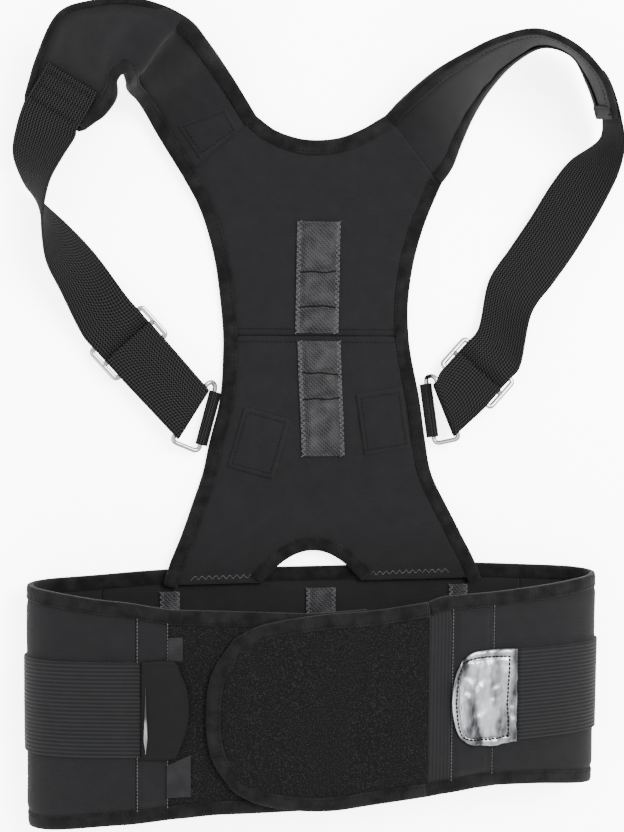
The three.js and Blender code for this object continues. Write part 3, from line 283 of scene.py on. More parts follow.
def channel(lump=0.0, lip=REACH):
    """Section of folded tape round an edge, from one lip to the other, with a soft nose"""
    h, H, c, t = EDGE / 2 + CLEAR, BIND_HALF, CLEAR, TAPE
    out = [(-REACH, h), (c, h), (c, -h), (-lip, -h), (-lip, -H + 0.25), (-lip + 0.8, -H)]
    out += [(-0.56 * lip, -H - lump), (-0.2 * lip, -H)]
    out += [(c + t * math.cos(a), H * 0.92 * math.sin(a)) for a in
            (math.radians(k) for k in (-62, -31, 0, 31, 62))]
    out += [(-1.6, H), (-4.5, H + lump), (-REACH + 0.8, H), (-REACH, H - 0.25)]
    return out


def stations(points, face, inside):
    """Frames along an edge: place, face normal and outward side"""
    out, n = [], len(points)
    for i, p in enumerate(points):
        t = points[min(i + 1, n - 1)] - points[max(i - 1, 0)]
        e = t.cross(face[i]).normalized()
        if e.dot(inside[i] - p) > 0:
            e.negate()
        out.append((p, (face[i] - e * face[i].dot(e)).normalized(), e))
    return out


def grid_edge(P, side):
    """Place, face normal and inner neighbour of each point along one side of a grid"""
    N, nu, nv = normals(P), len(P), len(P[0])
    walk = {"v0": [(i, 0, i, 1) for i in range(nu)],
            "v1": [(i, nv - 1, i, nv - 2) for i in range(nu)],
            "u0": [(0, j, 1, j) for j in range(nv)],
            "u1": [(nu - 1, j, nu - 2, j) for j in range(nv)]}[side]
    return [(P[i][j], N[i][j], P[k][l]) for i, j, k, l in walk]


def tape(names, frames, lips, waves, nodes, looks):
    """Folded tape through frames of place, face and outward side, with stitches on both faces"""
    rings, length, lines = [], 0.0, ([], [])
    for i, (p, n, e) in enumerate(frames):
        length += (p - frames[i - 1][0]).length if i else 0.0
        lump = sum(high * noise.noise(V(length / run, seed)) for high, run, seed in waves)
        rings.append([p + e * u + n * v for u, v in channel(lump, lips[i])])
        for line, side in zip(lines, (1, -1)):
            lip = REACH if side > 0 else lips[i]
            line.append(p + e * (SEW_IN - lip) + n * side * (BIND_HALF + SEW_RISE))
    tube(names[0], [f[0] for f in frames], rings, looks["binding"], "binding_tape", nodes)
    stitches(names[1], lines, looks["thread"], "binding_tape")


def binding(name, run, nodes, looks, gap=0.0):
    """Folded tape along an edge, kept back from both ends by the gap"""
    run = list(run)
    if gap:
        run[0] = (run[0][0] + (run[1][0] - run[0][0]).normalized() * gap, *run[0][1:])
        run[-1] = (run[-1][0] + (run[-2][0] - run[-1][0]).normalized() * gap, *run[-1][1:])
    frames = stations(*zip(*run))
    tape((name, name + "_stitches"), frames, [REACH] * len(frames), TAPE_WAVES, nodes, looks)


# Stitches
def stitch_tree(material):
    """Short threads laid end to end along the edges of the piece's own mesh"""
    tree = bpy.data.node_groups.new("stitch_run", "GeometryNodeTree")
    face, sockets = tree.interface, {}
    face.new_socket("Geometry", in_out="INPUT", socket_type="NodeSocketGeometry")
    for key in ("Pitch", "Length", "Thickness"):
        sockets[key] = face.new_socket(key, in_out="INPUT", socket_type="NodeSocketFloat").identifier
    face.new_socket("Geometry", in_out="OUTPUT", socket_type="NodeSocketGeometry")
    start, end, curve, even, thread, turn, size, spots, tangent, align, real, paint = (
        tree.nodes.new(kind) for kind in (
            "NodeGroupInput", "NodeGroupOutput", "GeometryNodeMeshToCurve", "GeometryNodeResampleCurve",
            "GeometryNodeMeshUVSphere", "GeometryNodeTransform", "ShaderNodeCombineXYZ",
            "GeometryNodeInstanceOnPoints", "GeometryNodeInputTangent", "FunctionNodeAlignEulerToVector",
            "GeometryNodeRealizeInstances", "GeometryNodeSetMaterial"))
    even.mode, align.axis = "LENGTH", "Z"
    thread.inputs["Segments"].default_value, thread.inputs["Rings"].default_value = THREAD_FACES
    thread.inputs["Radius"].default_value = 1.0
    paint.inputs["Material"].default_value = material
    for a, out, b, into in (
            (start, "Geometry", curve, 0), (curve, 0, even, "Curve"), (start, "Pitch", even, "Length"),
            (start, "Thickness", size, "X"), (start, "Thickness", size, "Y"), (start, "Length", size, "Z"),
            (thread, "Mesh", turn, "Geometry"), (size, 0, turn, "Scale"), (even, 0, spots, "Points"),
            (turn, 0, spots, "Instance"), (tangent, 0, align, "Vector"), (align, 0, spots, "Rotation"),
            (spots, 0, real, 0), (real, 0, paint, 0), (paint, 0, end, 0)):
        tree.links.new(a.outputs[out], b.inputs[into])
    return tree, sockets


def stitches(name, lines, material, slot, pitch=None, length=1.15, thick=None):
    settings = bpy.context.scene.brace
    pitch, thick = pitch or settings.stitch_pitch / MM, thick or settings.stitch_thickness / MM
    points, edges = [], []
    for line in lines:
        base = len(points)
        points += [p * MM for p in line]
        edges += [(base + k, base + k + 1) for k in range(len(line) - 1)]
    mesh = bpy.data.meshes.new(name)
    mesh.from_pydata(points, edges, [])
    guide = bpy.data.objects.new(name + "_guide", mesh)
    bpy.context.collection.objects.link(guide)
    tree, socket = stitch_tree(material)
    mod = guide.modifiers.new("stitches", "NODES")
    mod.node_group = tree
    for key, value in (("Pitch", pitch), ("Length", length), ("Thickness", thick)):
        mod[socket[key]] = value * MM
    bpy.context.view_layer.update()
    seen = guide.evaluated_get(bpy.context.evaluated_depsgraph_get())
    made = bpy.data.meshes.new_from_object(seen)
    bpy.data.objects.remove(guide)
    made.polygons.foreach_set("use_smooth", [True] * len(made.polygons))
    if not made.materials:
        made.materials.append(material)
    piece = bpy.data.objects.new(name, made)
    bpy.context.collection.objects.link(piece)
    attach(piece, "root")
    return piece


def zigzag(line, side, width=2.4, pitch=2.2):
    """The same line swung from side to side, for overlock and zigzag seams"""
    out, run, k = [], 0.0, 0
    total = sum((b - a).length for a, b in zip(line, line[1:]))
    n = max(2, int(total / pitch))
    cuts = [0.0]
    for a, b in zip(line, line[1:]):
        cuts.append(cuts[-1] + (b - a).length)
    for i in range(n + 1):
        s = total * i / n
        while k < len(cuts) - 2 and cuts[k + 1] < s:
            k += 1
        p = line[k].lerp(line[k + 1], (s - cuts[k]) / max(cuts[k + 1] - cuts[k], 1e-6))
        out.append(p + side * (width / 2 if i % 2 else -width / 2))
    return out


# Materials
def node(tree, kind, links=None, **settings):
    """Adds a node; settings are properties or socket values, links map a socket to an output"""
    n = tree.nodes.new(kind)
    for key, value in settings.items():
        if hasattr(n, key):
            setattr(n, key, value)
        else:
            n.inputs[key.replace("_", " ")].default_value = value
    for key, output in (links or {}).items():
        tree.links.new(output, n.inputs[key])
    return n


def blank(name, **shader):
    material = bpy.data.materials.new(name)
    material.use_nodes = True
    tree = material.node_tree
    bsdf = tree.nodes["Principled BSDF"]
    for key, value in shader.items():
        bsdf.inputs[key.replace("_", " ")].default_value = value
    return material, tree, bsdf


def cloth(name, colour, fleck, warp, weft, depth, rough=0.95, sheen=0.02, contrast=0.35, slant=False,
          shine=0.06):
    """Cloth from two thread directions on the piece's map; warp and weft are pitches in mm"""
    material, tree, bsdf = blank(name, Roughness=rough, Sheen_Weight=sheen, Sheen_Roughness=0.5)
    bsdf.inputs["Specular IOR Level"].default_value = shine
    uv = node(tree, "ShaderNodeUVMap", uv_map="UVMap")
    axes = node(tree, "ShaderNodeSeparateXYZ", {0: uv.outputs[0]})
    waves = []
    lead = [axes.outputs[0], axes.outputs[1]]
    if slant:
        both = {0: axes.outputs[0], 1: axes.outputs[1]}
        lead = [node(tree, "ShaderNodeMath", both, operation=kind).outputs[0]
                for kind in ("ADD", "SUBTRACT")]
    for axis, pitch in ((0, warp), (1, weft)):
        if pitch:
            turn = node(tree, "ShaderNodeMath", {0: lead[axis]}, operation="MULTIPLY")
            turn.inputs[1].default_value = 2 * math.pi / pitch
            waves.append(node(tree, "ShaderNodeMath", {0: turn.outputs[0]}, operation="SINE").outputs[0])
    place = node(tree, "ShaderNodeTexCoord").outputs["Object"]
    fine = node(tree, "ShaderNodeTexNoise", {"Vector": place}, Scale=1100.0, Detail=2.0)
    broad = node(tree, "ShaderNodeTexNoise", {"Vector": place}, Scale=110.0, Detail=3.0)
    height = fine.outputs[0]
    for wave in waves:
        height = node(tree, "ShaderNodeMath", {0: height, 1: wave}, operation="MULTIPLY_ADD")
        tree.links.new(wave, height.inputs[2])
        height = height.outputs[0]
    low = Vector(linear(colour)[:3])
    tones = []
    for k in (1 - contrast, 1 + contrast):
        tones.append((*[clamp(c * k) for c in low], 1.0))
    reach = 0.17 + 0.75 * len(waves)
    shade = node(tree, "ShaderNodeMapRange", {0: height}, From_Min=0.5 - reach, From_Max=0.5 + reach)
    ramp = node(tree, "ShaderNodeMix", {"Factor": shade.outputs[0]}, data_type="RGBA")
    ramp.inputs[6].default_value, ramp.inputs[7].default_value = tones
    lint = node(tree, "ShaderNodeMapRange", {0: broad.outputs[0]}, From_Min=0.35, From_Max=0.75,
                To_Max=fleck)
    worn = node(tree, "ShaderNodeMix", {"Factor": lint.outputs[0], 6: ramp.outputs[2]}, data_type="RGBA")
    worn.inputs[7].default_value = (*[clamp(c * 1.9 + 0.01) for c in low], 1.0)
    tree.links.new(worn.outputs[2], bsdf.inputs["Base Color"])
    bump = node(tree, "ShaderNodeBump", {"Height": height}, Strength=0.6, Distance=depth * MM)
    tree.links.new(bump.outputs[0], bsdf.inputs["Normal"])
    return material


def pile(name, colour, loop, share, depth):
    """Brushed loops: dark ground with small light loop heads; loop is their spacing in mm"""
    material, tree, bsdf = blank(name, Roughness=1.0)
    bsdf.inputs["Specular IOR Level"].default_value = 0.05
    place = node(tree, "ShaderNodeTexCoord").outputs["Object"]
    heads = node(tree, "ShaderNodeTexNoise", {"Vector": place}, Scale=1000.0 / loop, Detail=3.0)
    tone = node(tree, "ShaderNodeMapRange", {0: heads.outputs[0]}, From_Min=1 - share,
                From_Max=1.22 - share)
    shade = node(tree, "ShaderNodeMix", {"Factor": tone.outputs[0]}, data_type="RGBA")
    ground = Vector(linear(colour)[:3])
    shade.inputs[6].default_value = (*ground, 1.0)
    shade.inputs[7].default_value = (*(ground * 3 + Vector((0.0025,) * 3)), 1.0)
    tree.links.new(shade.outputs[2], bsdf.inputs["Base Color"])
    bump = node(tree, "ShaderNodeBump", {"Height": heads.outputs[0]}, Strength=0.7, Distance=depth * MM)
    tree.links.new(bump.outputs[0], bsdf.inputs["Normal"])
    return material


def smooth_stuff(name, colour, rough, grain, depth, shade=None, **shader):
    """Metal or coated cloth with a fine grain in its roughness and surface; given a shade colour, its
    colour gets upright streaks of painted reflection and painted shade
    """
    material, tree, bsdf = blank(name, **shader)
    place = node(tree, "ShaderNodeTexCoord").outputs["Object"]
    cells = node(tree, "ShaderNodeTexNoise", {"Vector": place}, Scale=grain, Detail=3.0)
    spread = node(tree, "ShaderNodeMapRange", {0: cells.outputs[0]}, To_Min=rough * 0.75,
                  To_Max=rough * 1.3)
    tree.links.new(spread.outputs[0], bsdf.inputs["Roughness"])
    bsdf.inputs["Base Color"].default_value = linear(colour)
    if shade:
        # Upright streaks of painted reflection and painted shade: noise stretched along y mixes the shade
        # colour into the base colour
        drawn = node(tree, "ShaderNodeMapping", {"Vector": place})
        drawn.inputs["Scale"].default_value = (1.0, 0.3, 1.0)
        clouds = node(tree, "ShaderNodeTexNoise", {"Vector": drawn.outputs[0]}, Scale=95.0, Detail=5.0)
        painted_reflection_streaks = node(tree, "ShaderNodeMapRange", {0: clouds.outputs[0]}, From_Min=0.4, From_Max=0.64)
        tones = node(tree, "ShaderNodeMix", {"Factor": painted_reflection_streaks.outputs[0]}, data_type="RGBA")
        tones.inputs[6].default_value, tones.inputs[7].default_value = linear(shade), linear(colour)
        tree.links.new(tones.outputs[2], bsdf.inputs["Base Color"])
    bump = node(tree, "ShaderNodeBump", {"Height": cells.outputs[0]}, Strength=0.3, Distance=depth * MM)
    tree.links.new(bump.outputs[0], bsdf.inputs["Normal"])
    return material


def make_looks():
    c = COLOURS
    return {
        # Brushed polyester jersey laminated on foam: matt, slightly fuzzy, with a very fine knit
        "jersey": cloth("polyester_jersey_on_foam", c["jersey"], 0.06, 0.9, 0.9, 0.12),
        # The same jersey without its nap, a little lighter
        "lining": cloth("plain_lining", c["lining"], 0.2, 0.9, 0.9, 0.1, contrast=0.25),
        # Folded grosgrain tape: fine cross ribs that catch light on the turned edge
        "binding": cloth("grosgrain_binding_tape", c["binding"], 0.3, 1.3, 0, 0.1, contrast=0.3),
        # Brushed nylon loop pile, drawn coarser than its 0.2 mm loops so that it shows
        "pile": pile("brushed_nylon_loop_pile", c["pile"], 0.9, 0.5, 0.9),
        # Woven polypropylene webbing with ribs across its width
        "webbing": cloth("polypropylene_webbing", c["webbing"], 0.0, 2.1, 1.9, 0.6, rough=0.9, contrast=1.0,
                         sheen=0.0, shine=0.02),
        # Knitted elastic, its ribs along the band
        "elastic": cloth("ribbed_knit_elastic", c["elastic"], 0.05, 0, 2.5, 0.25, rough=0.85, contrast=0.4),
        # The same elastic with its ribs upright
        "tape": cloth("upright_ribbed_tape", c["jersey"], 0.05, 2.5, 0, 0.15, rough=0.85, contrast=0.2),
        # Sheer twill mesh over dark padding: looks lighter than the cloth round it
        "mesh": cloth("twill_pocket_mesh", c["mesh"], 0.5, 2.3, 2.9, 0.3, rough=0.6, contrast=0.8,
                      slant=True),
        # Spun polyester sewing threads
        "thread": cloth("dark_sewing_thread", c["thread"], 0.1, 0, 0, 0.05),
        "light_thread": cloth("grey_sewing_thread", c["light_thread"], 0.1, 0, 0, 0.05),
        # Plated steel wire and plate: clear reflections, faint polishing marks
        "nickel": smooth_stuff("nickel_plated_steel", c["nickel"], 0.16, 600.0, 0.01, Metallic=1.0),
        # Polyurethane coated cloth: a soft sheen with a leather-like grain, and upright streaks of painted
        # reflection and painted shade in its colour
        "silver": smooth_stuff("silver_coated_cloth", c["silver"], 0.36, 160.0, 1.4, c["silver_shade"],
                               Metallic=0.9),
        "black": smooth_stuff("black_coated_cloth", c["black"], 0.7, 900.0, 0.08, Specular_IOR_Level=0.03),
    }


LOOKS = {}


def look(name):
    if not LOOKS:
        LOOKS.update(make_looks())
    return LOOKS[name]


class Looks(dict):
    def __missing__(self, key):
        return look(key)


# Belt wall: half of its section from the back, and the heights of its front edges
BELT_SECTION = [
    (0, 0), (0.28, 0), (0.56, 0), (0.78, 0), (0.88, 0.02), (0.95, 0.09), (0.987, 0.2), (1, 0.32),
    (0.99, 0.45), (0.955, 0.57), (0.88, 0.68), (0.75, 0.785), (0.56, 0.885), (0.3, 0.97), (0, 1)]
FRONT_EDGES = [
    {"at": -1, "top": 0.955, "foot": -1.035}, {"at": -0.7, "top": 0.875, "foot": -0.965},
    {"at": -0.52, "top": 0.805, "foot": -0.92}, {"at": -0.37, "top": 0.79, "foot": -0.897},
    {"at": -0.06, "top": 0.755, "foot": -0.89}, {"at": 0.28, "top": 0.79, "foot": -0.828},
    {"at": 0.4, "top": 0.875, "foot": -0.8}, {"at": 0.57, "top": 0.885, "foot": -0.772},
    {"at": 1, "top": 0.95, "foot": -0.85}]
BACK_EDGE = 1.03
AROUND = 720


def _belt_points():
    """Even points once round the belt's middle line, and its length"""
    half = [V(side * BELT_HALF, 0, FOAM / 2 + up * BELT_RISE) for side, up in BELT_SECTION]
    left = [V(-p.x, 0, p.z) for p in reversed(half[1:-1])]
    curve = catmull(half + left, closed=True)
    fine = [curve(k / 4000) for k in range(4001)]
    run = [0.0]
    for a, b in zip(fine, fine[1:]):
        run.append(run[-1] + (b - a).length)
    out, k = [], 0
    for i in range(AROUND + 1):
        s = run[-1] * i / AROUND
        while k < 3999 and run[k + 1] < s:
            k += 1
        out.append(fine[k].lerp(fine[k + 1], clamp((s - run[k]) / (run[k + 1] - run[k]))))
    return out, run[-1]


BELT_POINTS, BELT_LENGTH = _belt_points()
front_top, front_foot = column(FRONT_EDGES, "at", "top"), column(FRONT_EDGES, "at", "foot")
LAP = (FOAM + 2 * BIND_HALF) / 4 + CLEAR / 2


def wall(s):
    """Place and outward side of the belt's wall at a share of its round"""
    f = (s % 1.0) * AROUND
    k = int(f)
    p = BELT_POINTS[k].lerp(BELT_POINTS[min(k + 1, AROUND)], f - k)
    t = (BELT_POINTS[min(k + 2, AROUND)] - BELT_POINTS[max(k - 1, 0)]).normalized()
    if abs(p.x) < 0.78 * BELT_HALF and p.z < FOAM:
        return V(p.x, 0, FOAM / 2), V(0, 0, -1)
    return p, V(t.z, 0, -t.x)


def around(x, front):
    """Share of the round at an x of the front or the back wall"""
    best, gap = 0, 1e9
    for k in range(AROUND):
        if (AROUND / 4 < k < AROUND * 3 / 4) == front and abs(BELT_POINTS[k].x - x) < gap:
            gap, best = abs(BELT_POINTS[k].x - x), k
    return best / AROUND


def wall_at(x):
    """Place and outward side of the front wall at an x"""
    return wall(halve(0.3, 0.7, lambda s: wall(s)[0].x <= x))


EDGE_FROM, EDGE_TO = around(BELT_HALF * 0.5, False), around(BELT_HALF * 0.75, True)


def belt_span(s):
    """Heights of the belt's lower and upper edge"""
    share = wall(s)[0].x / BELT_HALF
    turn = s % 1.0
    up = ease(EDGE_FROM, EDGE_TO, min(turn, 1 - turn))
    half = BELT_HEIGHT / 2
    return half * mix(-BACK_EDGE, front_foot(share), up), half * mix(BACK_EDGE, front_top(share), up)


def lap_right(x):
    return LAP * (1 - ease(FLAP_SEAM, FLAP_SEAM + 70, x))


def lap_left(x):
    return -LAP * ease(FLAP_END - 45, FLAP_END + 5, x)


def no_lap(_x):
    return 0.0


CASING_SEAMS = ((108.5, lap_right), (79.6, lap_right), (-121.0, lap_left), (-102.4, lap_left))


def wall_grid(s0, s1, vs, lap=no_lap, span=belt_span, step=FINE):
    """Rows of points up the wall from one share of the round to another"""
    us = steps(abs(s1 - s0) * BELT_LENGTH, step)
    rows = []
    for u in us:
        s = mix(s0, s1, u)
        p, n = wall(s)
        foot, top = span(s)
        q = p + n * (lap(p.x) if p.z > BELT_RISE / 2 else 0.0)
        rows.append([V(q.x, mix(foot, top, v), q.z) for v in vs])
    return rows


def foam_depth(full, bound, pressed=EDGE):
    """Half depth of foam: thin inside the binding on the bound sides"""
    def at(_i, _j, _u, _v, d):
        near = min([d[k] for k in range(4) if bound[k]] + [1e9])
        half = mix(pressed, full, ease(REACH - 1.5, REACH + 4.5, near)) / 2
        return half, half
    return at


def soft(scale, height, seed=0.0):
    """Slow swell of laid cloth"""
    def at(p, _u, _v):
        q = V(p.x / scale + seed, p.y / scale, p.z / scale)
        return height * (noise.noise(q) + 0.4 * noise.noise(q * 2.3))
    return at


# Properties
class BraceSettings(bpy.types.PropertyGroup):
    stitch_pitch: FloatProperty(name="Stitch pitch", description="From one stitch to the next",
                                default=3.0 * MM, unit="LENGTH")
    stitch_thickness: FloatProperty(name="Thread", description="Half thickness of the sewing thread",
                                    default=0.26 * MM, unit="LENGTH")
    swell: FloatProperty(name="Swell", description="How far laid cloth waves from flat",
                         default=0.35 * MM, unit="LENGTH")
    floor_colour: FloatVectorProperty(name="Floor", description="Colour of the floor", size=4,
                                      subtype="COLOR", default=linear(COLOURS["floor"]))


class BRACE_OT_belt(bpy.types.Operator):
    """Foam walls, casings, tape, pile and bindings of the waist belt"""
    bl_idname = "brace.belt"
    bl_label = "Waist belt"

    def execute(self, context):
        looks = Looks()
        swell = context.scene.brace.swell / MM
        vs, back = steps(BELT_HEIGHT, 2.6), BELT_HALF * BACK_SHARE
        cut = {"back_r": around(back, False), "back_l": around(-back, False),
               "cas_r": around(FLAP_SEAM + TAPE_WIDTH + CASING_WIDTH, True),
               "tape_r": around(FLAP_SEAM + TAPE_WIDTH, True), "seam_r": around(FLAP_SEAM, True),
               "cas_l": around(LEFT_CASING, True),
               "loop_l": around(LEFT_CASING + LEFT_CASING_WIDTH, True), "end_l": around(LEFT_END, True)}
        gap = CLEAR / 2 / BELT_LENGTH
        sleeves = [
            ("belt_back", cut["back_l"] - 1, cut["back_r"], no_lap, "jersey", "foam_jersey"),
            ("belt_side_right", cut["back_r"], cut["cas_r"], lap_right, "jersey", "foam_jersey"),
            ("front_casing_right", cut["cas_r"], cut["tape_r"], lap_right, "jersey", "foam_jersey"),
            ("seam_tape_right", cut["tape_r"], cut["seam_r"], lap_right, "tape", "ribbed_elastic"),
            ("belt_side_left", cut["back_l"], cut["cas_l"], lap_left, "jersey", "foam_jersey"),
            ("front_casing_left", cut["cas_l"], cut["loop_l"], lap_left, "jersey", "foam_jersey"),
            ("front_panel_left", cut["loop_l"], cut["end_l"], lap_left, "pile", "loop_pile")]
        grids = {}
        for name, a, b, lap, kind, slot in sleeves:
            sign = 1 if b > a else -1
            P = wall_grid(a + sign * gap, b - sign * gap, vs, lap,
                          step=1.0 if "tape" in name or "casing" in name else FINE)
            grids[name] = P
            base = foam_depth(FOAM, (0, 0, 1, 1))

            def halves(i, j, u, v, d, name=name, sign=sign, base=base):
                down, up = base(i, j, u, v, d)
                near = min(d[2], d[3])
                if "casing" in name:
                    puff = CLOTH * ease(1.5, 6, min(d[0], d[1])) * ease(REACH, REACH + 4, near)
                elif "tape" in name:
                    puff = 0.03 * math.sin(2 * math.pi * u / RIB_PITCH) * ease(REACH, REACH + 2, near)
                else:
                    puff = 0.0
                return (down + puff, up) if sign > 0 else (down, up + puff)
            still = name == "belt_back"
            sheet(name + "_cloth", P, halves, looks[kind], slot, (name,),
                  bend=None if still else soft(26, swell), pad=0.5 if kind == "jersey" else None)
        for name, side in (("belt_binding_top", "v1"), ("belt_binding_bottom", "v0")):
            run = []
            for part in ("front_panel_left", "front_casing_left", "belt_side_left"):
                run += grid_edge(list(reversed(grids[part])), side)[:-1]
            right = ("belt_back", "belt_side_right", "front_casing_right", "seam_tape_right")
            for k, part in enumerate(right):
                run += grid_edge(grids[part], side)[1 if k else 0:]
            run = [r for k, r in enumerate(run) if k == 0 or (r[0] - run[k - 1][0]).length > 0.5]
            binding(name + "_tape", [run[0], *run[1:-1:2], run[-1]], (name,), looks)
        # Threads that draw the foam walls together at their joints
        joints = []
        for key, lap in (("back_r", no_lap), ("back_l", no_lap), ("cas_r", lap_right),
                         ("tape_r", lap_right), ("cas_l", lap_left), ("loop_l", lap_left)):
            upright = wall_grid(cut[key], cut[key] + gap, vs, lap)[0]
            joints += [[p + wall(cut[key])[1] * depth for p in upright[2:-2]] for depth in (-0.8, 0.8)]
        stitches("wall_joint_threads", joints, looks["thread"], "foam_jersey", *JOINT_SEW)
        # Boning seams: pairs of stitch lines beside the casings
        rows = []
        for x, lap in CASING_SEAMS:
            p, n = wall_at(x)
            q = p + n * (lap(x) + FOAM / 2 + 0.25)
            foot, top = (edge(x / BELT_HALF) * BELT_HEIGHT / 2 for edge in (front_foot, front_top))
            rows.append([V(q.x, mix(foot + REACH, top - REACH, k / 60), q.z) for k in range(61)])
        stitches("casing_seams", rows, looks["light_thread"], "foam_jersey", *CASING_SEW)
        return {"FINISHED"}


def wrapped(plan, lap):
    """Lays a flat plan over the front wall, out by its lap"""
    P = []
    for row in plan:
        line = []
        for p in row:
            (q, n), out = wall_at(p.x), lap(p.x)
            line.append(V(q.x + n.x * out, p.y, q.z + n.z * out))
        P.append(line)
    return P


class BRACE_OT_flap(bpy.types.Operator):
    """Round-ended loop pile flap of the right wing with its binding"""
    bl_idname = "brace.flap"
    bl_label = "Flap"

    def execute(self, context):
        looks = Looks()
        outline = [(0, 0), (0.25, 0), (0.45, 0), (0.62, -0.035), (0.78, -0.11), (0.88, -0.22)]
        length, half = FLAP_SEAM - FLAP_END, BELT_HEIGHT / 2
        top_pts, foot_pts = [], []
        for back, up in outline:
            x = FLAP_SEAM - CLEAR - back * length
            top_pts.append(V(x, half * (front_top(x / BELT_HALF) + up)))
            foot_pts.append(V(x, half * (front_foot(x / BELT_HALF) - up * 0.95)))
        top, foot = catmull(top_pts), catmull(foot_pts)
        a, b = foot(1), top(1)
        end = catmull([a, V(FLAP_END + 3.4, mix(a.y, b.y, 0.22)), V(FLAP_END, mix(a.y, b.y, 0.5)),
                       V(FLAP_END + 3.4, mix(a.y, b.y, 0.78)), b])
        seam = lambda v: V(FLAP_SEAM - CLEAR, mix(foot(0).y, top(0).y, v))
        plan = coons(seam, end, foot, top, steps(length), steps(BELT_HEIGHT * 0.8, 2.4))
        P = wrapped(plan, lambda _x: LAP)
        sheet("front_flap_pile", P, foam_depth(FOAM, (0, 1, 1, 1)), looks["pile"], "loop_pile",
              ("front_flap",), bend=soft(30, context.scene.brace.swell / MM, 5.0))
        run = grid_edge(P, "v0") + grid_edge(P, "u1")[1:-1] + list(reversed(grid_edge(P, "v1")))
        binding("flap_binding_tape", run[::2] + [run[-1]], ("flap_binding",), looks)
        return {"FINISHED"}


def coons(left, right, foot, top, us, vs):
    out = []
    for u in us:
        row = []
        for v in vs:
            a = left(v) * (1 - u) + right(v) * u
            b = foot(u) * (1 - v) + top(u) * v
            c = (left(0) * ((1 - u) * (1 - v)) + right(0) * (u * (1 - v))
                 + left(1) * ((1 - u) * v) + right(1) * (u * v))
            row.append(a + b - c)
        out.append(row)
    return out


# Small cloth slips beside the left tab: middle x and y, width, height and rise
SLIPS = (
    ("pull_tab_left_sliver", -115.6, -6, 2.3, 42, 6.9, "silver", "silver_leatherette"),
    ("lining_end_upper", -97.6, 38, 9.0, 15, 3.0, "lining", "foam_jersey"),
    ("lining_end_lower", -95.5, -43, 15.0, 27, 3.0, "lining", "foam_jersey"))
SLIP_HALF = 0.3


